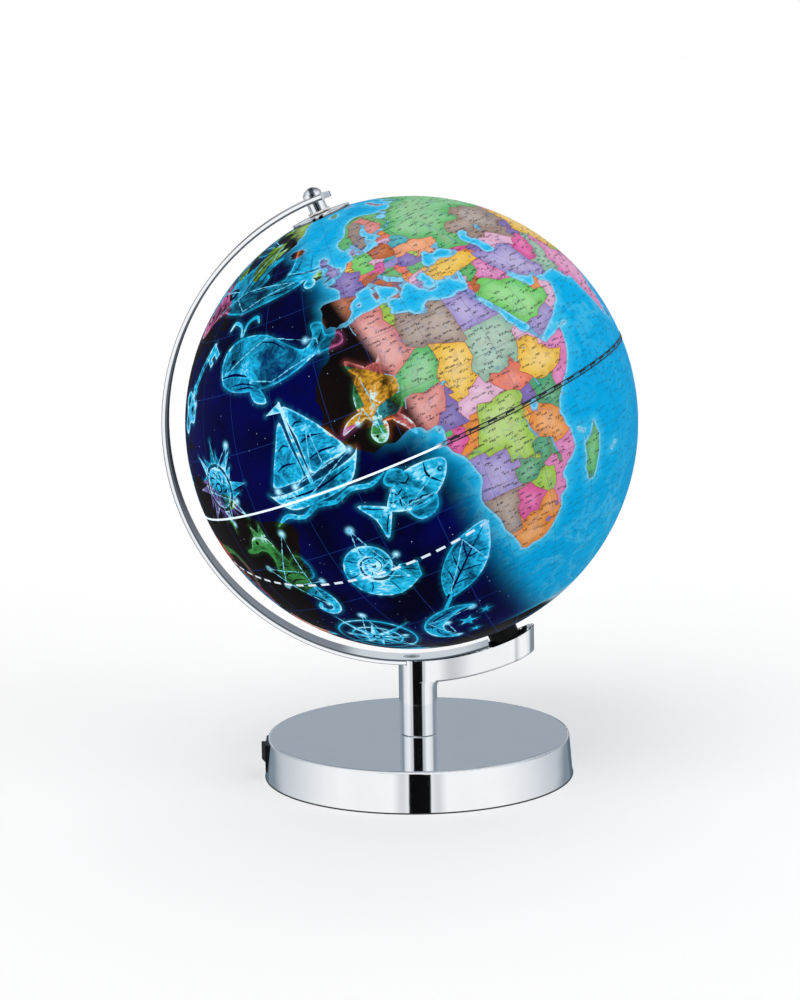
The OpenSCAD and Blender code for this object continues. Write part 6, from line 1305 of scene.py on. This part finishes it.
# The outer skin of one half as a flat net, with the kinds of line that run along each edge.
def build_half(sign, hole, lines, filler, equator):
    keys, points, edges, kinds = {}, [], [], []

    def number(q):
        k = (round(q[0] * 2e6), round(q[1] * 2e6))
        if k not in keys:
            keys[k] = len(points)
            points.append((float(q[0]), float(q[1])))
        return keys[k]

    def chain(pts, kind):
        last = None
        for q in pts:
            i = number(q)
            if last is not None and last != i:
                edges.append((last, i))
                kinds.append(kind)
            last = i

    rim = to_plane(equator, sign)
    chain(list(rim) + [rim[0]], "rim")
    hole_r = math.tan(math.asin(hole / BALL) / 2)
    around = np.array(ring(hole_r, HOLE_STEPS))
    chain(list(around) + [around[0]], "hole")
    for kind, pts in lines:
        run = []
        pts = np.array(pts)
        z = pts[:, 2] * sign
        flat = to_plane(pts, sign)
        near = np.hypot(flat[:, 0], flat[:, 1])
        for i in range(len(pts)):
            ok = z[i] >= 0 and near[i] > hole_r * 1.04
            if ok:
                if not run and i and z[i - 1] < 0:
                    run.append(to_plane(crossing(pts[i - 1], pts[i]), sign))
                run.append(flat[i])
            elif run:
                if z[i] < 0:
                    run.append(to_plane(crossing(pts[i - 1], pts[i]), sign))
                chain(run, kind)
                run = []
        if run:
            chain(run, kind)
    tree = tree_of(from_plane(np.array(points), sign) * BALL)
    for p in filler:
        if p[2] * sign > 0.004:
            q = to_plane(p, sign)
            if math.hypot(*q) > hole_r * 1.15 and tree.find(p * BALL)[2] > 0.75:
                number(q)
    made = geometry.delaunay_2d_cdt([Vector(p) for p in points], edges, [], 0, 1e-8)
    flat = np.array([tuple(v) for v in made[0]])
    tris = np.array([tuple(f) for f in made[2]])
    mid = flat[tris].mean(1)
    tris = tris[np.hypot(mid[:, 0], mid[:, 1]) > hole_r * math.cos(math.pi / HOLE_STEPS) * 0.999]
    a, b, c = (flat[tris[:, k]] for k in range(3))
    area = (b[:, 0] - a[:, 0]) * (c[:, 1] - a[:, 1]) - (b[:, 1] - a[:, 1]) * (c[:, 0] - a[:, 0])
    tris[area < 0] = tris[area < 0][:, ::-1]
    tris = tris[abs(area) > 1e-14]
    edge_kind = {}
    for e, origin in zip(made[1], made[4]):
        for o in origin:
            if o < len(kinds):
                edge_kind.setdefault((min(e), max(e)), set()).add(kinds[o])
    return flat, tris, edge_kind


def crossing(a, b):
    t = a[2] / (a[2] - b[2])
    p = a + (b - a) * t
    p[2] = 0.0
    return p / np.linalg.norm(p)


# Works out what each triangle shows: land or sea, its country's colour and a figure's tone.
def paint_half(flat, tris, edge_kind, sign, lines, figures):
    n = len(tris)
    owner, next_to = {}, []
    for f, t in enumerate(tris):
        for k in range(3):
            e = (min(t[k], t[(k + 1) % 3]), max(t[k], t[(k + 1) % 3]))
            if e in owner:
                next_to.append((owner[e], f, e))
            else:
                owner[e] = f
    shore_kinds, state_kinds = {"coast", "lake"}, {"coast", "lake", "border"}
    none = set()
    blobs = groups(n, [(a, b) for a, b, e in next_to if not (edge_kind.get(e, none) & shore_kinds)])
    states = groups(n, [(a, b) for a, b, e in next_to if not (edge_kind.get(e, none) & state_kinds)])
    mid = flat[tris].mean(1)
    e1, e2 = flat[tris[:, 1]] - flat[tris[:, 0]], flat[tris[:, 2]] - flat[tris[:, 0]]
    area = abs(e1[:, 0] * e2[:, 1] - e1[:, 1] * e2[:, 0])
    first = {}
    for f in np.argsort(-area, kind="stable"):
        first.setdefault(blobs[f], f)
    names = list(first)
    test = mid[[first[k] for k in names]]
    count = np.zeros(len(names), bool)
    for kind, pts in lines:
        if kind not in shore_kinds:
            continue
        pts = np.array(pts)
        if (pts[:, 2] * sign).max() <= 0:
            continue
        if (pts[:, 2] * sign).min() < -0.9:
            continue
        count ^= inside(test, to_plane(pts[:-1], sign))
    is_land = dict(zip(names, count))
    land = np.array([is_land[b] for b in blobs])
    # The colours: each country takes the colour of the place written inside it.
    at = from_plane(mid, sign)
    rows = np.nonzero(land)[0]
    tree = tree_of(at[rows], rows)
    tint, spots = {}, []
    for hue, text in SEEDS.items():
        for lon, lat in places(text):
            p = on_ball(lon, lat)
            spots.append((p, hue))
            if p[2] * sign > -0.02:
                _, i, far = tree.find(p)
                if far < 0.03:
                    tint.setdefault(states[i], hue)
    marks = tree_of([p for p, _ in spots])
    colour = np.zeros((n, 4), np.float32)
    colour[:] = (0.0, 0.30, 0.72, 0.0)
    for i in sorted(rows, key=lambda r: -area[r]):
        s = states[i]
        if s not in tint:
            tint[s] = spots[marks.find(at[i])[1]][1]
        colour[i] = HUES[tint[s]][:3] + (1.0,)
    tone = np.full(n, -1.0, np.float32)
    for value, pts in figures:
        if (pts[:, 2] * sign).max() < -0.25 or (pts[:, 2] * sign).min() < -0.6:
            continue
        q = to_plane(pts, sign)
        lo, hi = q.min(0), q.max(0)
        close = np.nonzero(((mid >= lo) & (mid <= hi)).all(1))[0]
        if len(close):
            got = close[inside(mid[close], q)]
            tone[got] = value
    return colour, tone


# The drawn height over each edge of each triangle, which makes exact thin lines in the shader.
def line_reach(verts, tris, edge_kind, day):
    reach = np.full((len(tris), 3, 3), NO_LINE, np.float32)
    for f, t in enumerate(tris):
        for k in range(3):
            i, j = t[(k + 1) % 3], t[(k + 2) % 3]
            found = edge_kind.get((min(i, j), max(i, j)))
            if not found:
                continue
            if ("border" in found and day[t[k]] > -0.01) or "star" in found:
                side = verts[j] - verts[i]
                up = np.linalg.norm(np.cross(side, verts[t[k]] - verts[i])) / (np.linalg.norm(side) + 1e-9)
                reach[f, :, k] = 0.0
                reach[f, k, k] = up
    return reach


def nearest(points, targets, limit):
    if not len(targets):
        return np.full(len(points), limit, np.float32)
    tree = tree_of(targets)
    return np.array([min(limit, tree.find(p)[2]) for p in points], np.float32)


def make_half(name, node, sign, hole, lines, figures, filler, equator):
    flat, tris, edge_kind = build_half(sign, hole, lines, filler, equator)
    colour, tone = paint_half(flat, tris, edge_kind, sign, lines, figures)
    used, tris = np.unique(tris, return_inverse=True)
    tris = tris.reshape(-1, 3)
    lookup = {int(u): i for i, u in enumerate(used)}
    edge_kind = {(min(lookup[a], lookup[b]), max(lookup[a], lookup[b])): v for (a, b), v in edge_kind.items()
                 if a in lookup and b in lookup}
    unit = from_plane(flat[used], sign)
    verts = unit * BALL
    day = daylight(unit)
    reach = line_reach(verts, tris, edge_kind, day)
    shore_pts = sorted({i for e, v in edge_kind.items() if v & {"coast", "lake"} for i in e})
    state_pts = sorted({i for e, v in edge_kind.items() if v & {"coast", "lake", "border"} for i in e})
    outline = set()
    for f in np.nonzero(tone > -0.5)[0]:
        outline ^= {(min(i, j), max(i, j)) for i, j in zip(tris[f].tolist(), np.roll(tris[f], -1).tolist())}
    figure_pts = sorted({i for e in outline for i in e})
    within = np.zeros(len(verts), bool)
    within[np.unique(tris[tone > -0.5])] = True
    star_pts = sorted({int(i) for f in np.nonzero(tone > 1.1)[0] for i in tris[f]})
    shore = nearest(verts, verts[shore_pts], REACH)
    glow = nearest(verts, verts[figure_pts], REACH) * np.where(within, -1.0, 1.0)
    inland = nearest(verts, verts[state_pts], REACH)
    spark = nearest(verts, verts[star_pts], REACH)
    # The inner skin is a coarser net on the same two rims.
    seen = {}
    for t in tris:
        for k in range(3):
            e = (int(t[k]), int(t[(k + 1) % 3]))
            if (e[1], e[0]) in seen:
                del seen[(e[1], e[0])]
            else:
                seen[e] = 1
    rims = sorted({i for e in seen for i in e})
    inner_r = (BALL - SKIN) / BALL
    spots2, links = [tuple(flat[used[i]]) for i in rims], []
    back = {v: i for i, v in enumerate(rims)}
    for a, b in seen:
        links.append((back[a], back[b]))
    count = len(spots2)
    sparse = spread(11.0, 11.0)
    hole_r = math.tan(math.asin(hole / BALL) / 2)
    for p in sparse:
        q = to_plane(p, sign)
        if hole_r * 1.5 < math.hypot(*q) < 0.95:
            spots2.append(tuple(q))
    made = geometry.delaunay_2d_cdt([Vector(p) for p in spots2], links, [], 0, 1e-9)
    flat2 = np.array([tuple(v) for v in made[0]])
    tris2 = np.array([tuple(f) for f in made[2]])
    mid2 = flat2[tris2].mean(1)
    tris2 = tris2[np.hypot(mid2[:, 0], mid2[:, 1]) > hole_r * math.cos(math.pi / HOLE_STEPS) * 0.999]
    a, b, c = (flat2[tris2[:, k]] for k in range(3))
    turn = (b[:, 0] - a[:, 0]) * (c[:, 1] - a[:, 1]) - (b[:, 1] - a[:, 1]) * (c[:, 0] - a[:, 0])
    tris2[turn < 0] = tris2[turn < 0][:, ::-1]
    pick = {}
    for i, origin in enumerate(made[3]):
        for o in origin:
            if o < count:
                pick[rims[o]] = i
    verts2 = from_plane(flat2, sign) * BALL * inner_r
    near = np.hypot(flat2[:, 0], flat2[:, 1]) < hole_r * 1.2
    a_in = math.asin(hole / (BALL * inner_r))
    for i in np.nonzero(near)[0]:
        way = flat2[i] / np.linalg.norm(flat2[i])
        verts2[i] = (way[0] * hole, way[1] * hole, sign * BALL * inner_r * math.cos(a_in))
    shift = len(verts)
    faces = [tuple(int(v) for v in t) for t in tris]
    faces += [tuple(int(v) + shift for v in t[::-1]) for t in tris2]
    for a, b in seen:
        faces.append((b, a, pick[a] + shift, pick[b] + shift))
    if sign < 0:
        faces = [f[::-1] for f in faces]
    everything = np.concatenate([verts, verts2])
    world = (everything @ AXES + np.array(MIDDLE)) * 0.001
    mesh = bpy.data.meshes.new(name)
    mesh.from_pydata([tuple(v) for v in world], [], faces)
    flip = -1 if sign < 0 else 1
    n, m, total = len(tris), len(verts), len(mesh.loops)
    paint = np.zeros((total, 4), np.float32)
    paint[:n * 3] = np.repeat(colour, 3, 0)
    paint[n * 3:] = (0.9, 0.9, 0.88, 1.0)
    mesh.color_attributes.new("paint", "FLOAT_COLOR", "CORNER").data.foreach_set("color", paint.ravel())
    lines_at = np.full((total, 3), NO_LINE, np.float32)
    lines_at[:n * 3] = reach[:, ::flip].reshape(-1, 3)
    mesh.attributes.new("lines_at", "FLOAT_VECTOR", "CORNER").data.foreach_set("vector", lines_at.ravel())
    figure = np.full(total, -1.0, np.float32)
    figure[:n * 3] = np.repeat(tone, 3)
    mesh.attributes.new("figure", "FLOAT", "CORNER").data.foreach_set("value", figure)
    reaches = np.full((len(world), 3), REACH, np.float32)
    reaches[:m] = np.stack([shore, glow, spark], 1)
    mesh.attributes.new("reaches", "FLOAT_VECTOR", "POINT").data.foreach_set("vector", reaches.ravel())
    depth = np.full(len(world), REACH, np.float32)
    depth[:m] = inland
    mesh.attributes.new("inland", "FLOAT", "POINT").data.foreach_set("value", depth)
    mesh.polygons.foreach_set("material_index", [0] * n + [1] * (len(faces) - n))
    mesh.polygons.foreach_set("use_smooth", [True] * len(faces))
    out = np.concatenate([verts, -verts2]) @ AXES
    out /= np.linalg.norm(out, axis=1)[:, None]
    corner = np.empty(total, np.int32)
    mesh.loops.foreach_get("vertex_index", corner)
    bent = out[corner]
    for poly in mesh.polygons[n + len(tris2):]:
        for i in poly.loop_indices:
            bent[i] = poly.normal
    mesh.normals_split_custom_set([tuple(v) for v in bent])
    mesh.materials.append(MATERIALS["globe_print"])
    mesh.materials.append(MATERIALS["globe_inside"])
    obj = bpy.data.objects.new(name, mesh)
    scene.collection.objects.link(obj)
    # The photo's chrome is clean of the ball's mirror image.
    obj.visible_glossy = False
    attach(obj, "globe")
    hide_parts(node)
    return obj


# The rim at the equator is shared by both halves: even steps, and each place where a line crosses it.
def equator_rim(lines):
    cross = []
    for _, pts in lines:
        pts = np.array(pts)
        for i in np.nonzero(pts[:-1, 2] * pts[1:, 2] < 0)[0]:
            p = crossing(pts[i], pts[i + 1])
            cross.append(math.atan2(p[1], p[0]) % (2 * math.pi))
    cross = sorted(set(cross))
    even = [2 * math.pi * (i + 0.5) / 300 for i in range(300)]
    even = [a for a in even if not cross or min(abs(a - c) for c in cross) > 0.005]
    return np.array([(math.cos(a), math.sin(a), 0.0) for a in sorted(cross + even)])


def make_globe():
    lines, figures = all_lines()
    filler = spread(1.7, 2.6)
    equator = equator_rim(lines)
    make_half("north_print", "north_hemisphere", 1, 6.0, lines, figures, filler, equator)
    make_half("south_print", "south_hemisphere", -1, 7.5, lines, figures, filler, equator)


make_globe()


def finish_piece(obj, name, body, nodes, material, angle=32.0):
    bpy.ops.object.mode_set(mode="OBJECT")
    bpy.ops.object.select_all(action="DESELECT")
    obj.select_set(True)
    bpy.context.view_layer.objects.active = obj
    bpy.ops.object.transform_apply(location=True, rotation=True, scale=True)
    bpy.ops.object.shade_smooth_by_angle(angle=math.radians(angle))
    obj.name = obj.data.name = name
    obj.data.materials.clear()
    obj.data.materials.append(MATERIALS[material])
    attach(obj, body)
    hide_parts(*nodes)
    return obj


# A length of the arm: its rounded section is spun round the arm's own centre between two angles.
def arm_length(start, end, steps):
    cx, cz = ARM_X * MM, ARM_Z * MM
    r_in, r_out, half = 107.3 * MM, 109.79 * MM, 7.0 * MM
    bpy.ops.object.select_all(action="DESELECT")
    bpy.ops.mesh.primitive_plane_add(size=1.0, location=(cx, 0, cz + (r_in + r_out) / 2),
                                     rotation=(0, math.pi / 2, 0))
    obj = bpy.context.active_object
    obj.scale = (r_out - r_in, 2 * half, 1.0)
    bpy.ops.object.transform_apply(location=True, rotation=True, scale=True)
    bpy.ops.object.mode_set(mode="EDIT")
    bpy.ops.mesh.select_all(action="SELECT")
    bpy.ops.mesh.bevel(offset=0.35 * MM, segments=4, affect="VERTICES")
    bpy.ops.mesh.select_all(action="SELECT")
    bpy.ops.mesh.spin(steps=1, dupli=True, angle=start, center=(cx, 0, cz), axis=(0, 1, 0))
    bpy.ops.mesh.select_all(action="INVERT")
    bpy.ops.mesh.delete(type="VERT")
    bpy.ops.mesh.select_all(action="SELECT")
    bpy.ops.mesh.spin(steps=steps, angle=end - start, center=(cx, 0, cz), axis=(0, 1, 0))
    return obj


# The arm is a flat bar; its top end is cut round about the pin.
def make_arm():
    cx, cz, mid_r, tip = ARM_X * MM, ARM_Z * MM, 108.55 * MM, 7.6 * MM
    co = np.array([v.co for v in frame["nodes"]["meridian_arm"].data.vertices])
    turn = np.arctan2(-(co[:, 0] - cx), co[:, 2] - cz) % (2 * math.pi)
    first, last = turn.min(), turn.max()
    pin = first + tip / mid_r
    end = arm_length(pin, first, 16)
    out = Vector((math.cos(pin), 0, math.sin(pin)))
    middle = Vector((cx - mid_r * math.sin(pin), 0, cz + mid_r * math.cos(pin)))
    for k in range(-8, 9):
        a = math.radians(k * 10.0)
        way = out * math.cos(a) + Vector((0, 1, 0)) * math.sin(a)
        bpy.ops.mesh.select_all(action="SELECT")
        bpy.ops.mesh.bisect(plane_co=middle + way * tip, plane_no=way, use_fill=True, clear_outer=True)
    bpy.ops.object.mode_set(mode="OBJECT")
    obj = arm_length(pin, last, 360)
    bpy.ops.object.mode_set(mode="OBJECT")
    end.select_set(True)
    obj.select_set(True)
    bpy.ops.object.join()
    bpy.ops.object.mode_set(mode="EDIT")
    bpy.ops.mesh.select_all(action="SELECT")
    bpy.ops.mesh.remove_doubles(threshold=0.002 * MM)
    bpy.ops.mesh.select_all(action="DESELECT")
    bpy.ops.mesh.select_interior_faces()
    bpy.ops.mesh.delete(type="FACE")
    bpy.ops.mesh.select_all(action="SELECT")
    bpy.ops.mesh.fill_holes(sides=0)
    bpy.ops.mesh.normals_make_consistent(inside=False)
    bpy.ops.object.mode_set(mode="OBJECT")
    # The countersunk hole for the screw: a cone for its head over a plain hole for its shank.
    hole, at = [], (-2.6 * MM, 0)
    bpy.ops.mesh.primitive_cone_add(vertices=64, radius1=2.1 * MM, radius2=4.1 * MM, depth=2.0 * MM,
                                    location=(*at, 53.6 * MM))
    hole.append(bpy.context.active_object)
    bpy.ops.mesh.primitive_cylinder_add(vertices=64, radius=2.12 * MM, depth=3.0 * MM, location=(*at, 51.3 * MM))
    hole.append(bpy.context.active_object)
    bpy.context.view_layer.objects.active = obj
    for tool in hole:
        cut = obj.modifiers.new("hole", "BOOLEAN")
        cut.operation, cut.object, cut.solver = "DIFFERENCE", tool, "EXACT"
        bpy.ops.object.modifier_apply(modifier=cut.name)
        bpy.data.objects.remove(tool)
    finish_piece(obj, "arm_band", "stand", ["meridian_arm"], "arm_chrome", 40.0)
    # The broad faces are truly round about the arm's own centre.
    mesh = obj.data
    bent = [Vector(n.vector) for n in mesh.corner_normals]
    for poly in mesh.polygons:
        for i, v in zip(poly.loop_indices, poly.vertices):
            co = mesh.vertices[v].co
            way = Vector((co.x - cx, 0, co.z - cz)).normalized()
            if abs(poly.normal.dot(way)) > 0.999:
                bent[i] = way * math.copysign(1, poly.normal.dot(way))
    mesh.normals_split_custom_set(bent)


make_arm()


# The bracket is cast in one: below the trough its fillet draws in to the post all round.
def make_bracket():
    cx, cz, under, post = BALL_X * MM, BALL_Z * MM, 118.0 * MM, POST_R * MM
    obj = bpy.data.objects.new("bracket_cast", frame["nodes"]["stand_bracket"].data.copy())
    scene.collection.objects.link(obj)
    bpy.ops.object.select_all(action="DESELECT")
    obj.select_set(True)
    bpy.context.view_layer.objects.active = obj
    bpy.ops.object.mode_set(mode="EDIT")
    bpy.ops.mesh.select_all(action="SELECT")
    bpy.ops.mesh.remove_doubles(threshold=0.0005 * MM)
    bpy.ops.mesh.bisect(plane_co=(0, 0, 44.2 * MM), plane_no=(0, 0, 1))
    bpy.ops.object.mode_set(mode="OBJECT")
    for v in obj.data.vertices:
        x, y, z = v.co
        far = math.hypot(x, y)
        if far > post + 0.01 * MM and x > 0 and math.hypot(x - cx, z - cz) > under + 0.02 * MM:
            v.co.y = y * post / far
    finish_piece(obj, "bracket_cast", "stand", ["stand_bracket"], "bracket_chrome", 30.0)
    # The post, the fillet's cheeks and the trough's end are truly round, and the walls truly flat.
    mesh = obj.data
    end = max(v.co.x for v in mesh.vertices) - post
    close = 0.05 * MM
    bent = [Vector(n.vector) for n in mesh.corner_normals]
    for poly in mesh.polygons:
        at = [mesh.vertices[i].co for i in poly.vertices]
        upright = abs(poly.normal.z) < 0.3
        on_post = upright and all(abs(math.hypot(c.x, c.y) - post) < close for c in at)
        cheek = abs(poly.normal.y) > 0.35 and all(c.x > -0.01 * MM and 39.0 * MM < c.z < 44.25 * MM for c in at)
        on_wall = abs(poly.normal.y) > 0.995 and all(abs(c.y) > 8.65 * MM for c in at)
        on_end = upright and all(c.x > end - close and abs(math.hypot(c.x - end, c.y) - post) < close for c in at)
        for i, c in zip(poly.loop_indices, at):
            if on_post or cheek:
                bent[i] = Vector((c.x, c.y, 0)).normalized()
            elif on_wall:
                bent[i] = Vector((0, math.copysign(1, c.y), 0))
            elif on_end:
                bent[i] = Vector((c.x - end, c.y, 0)).normalized()
    mesh.normals_split_custom_set(bent)


make_bracket()


# Each CAD node takes the finish of its slot in the record.
for row in frame["record"]["subparts"]:
    node = frame["nodes"][row["node"]]
    node.data.materials.clear()
    name = "pole_chrome" if row["node"] in ("pole_disc", "pole_spacer", "pole_finial") else row["material_slot"]
    node.data.materials.append(MATERIALS[name])
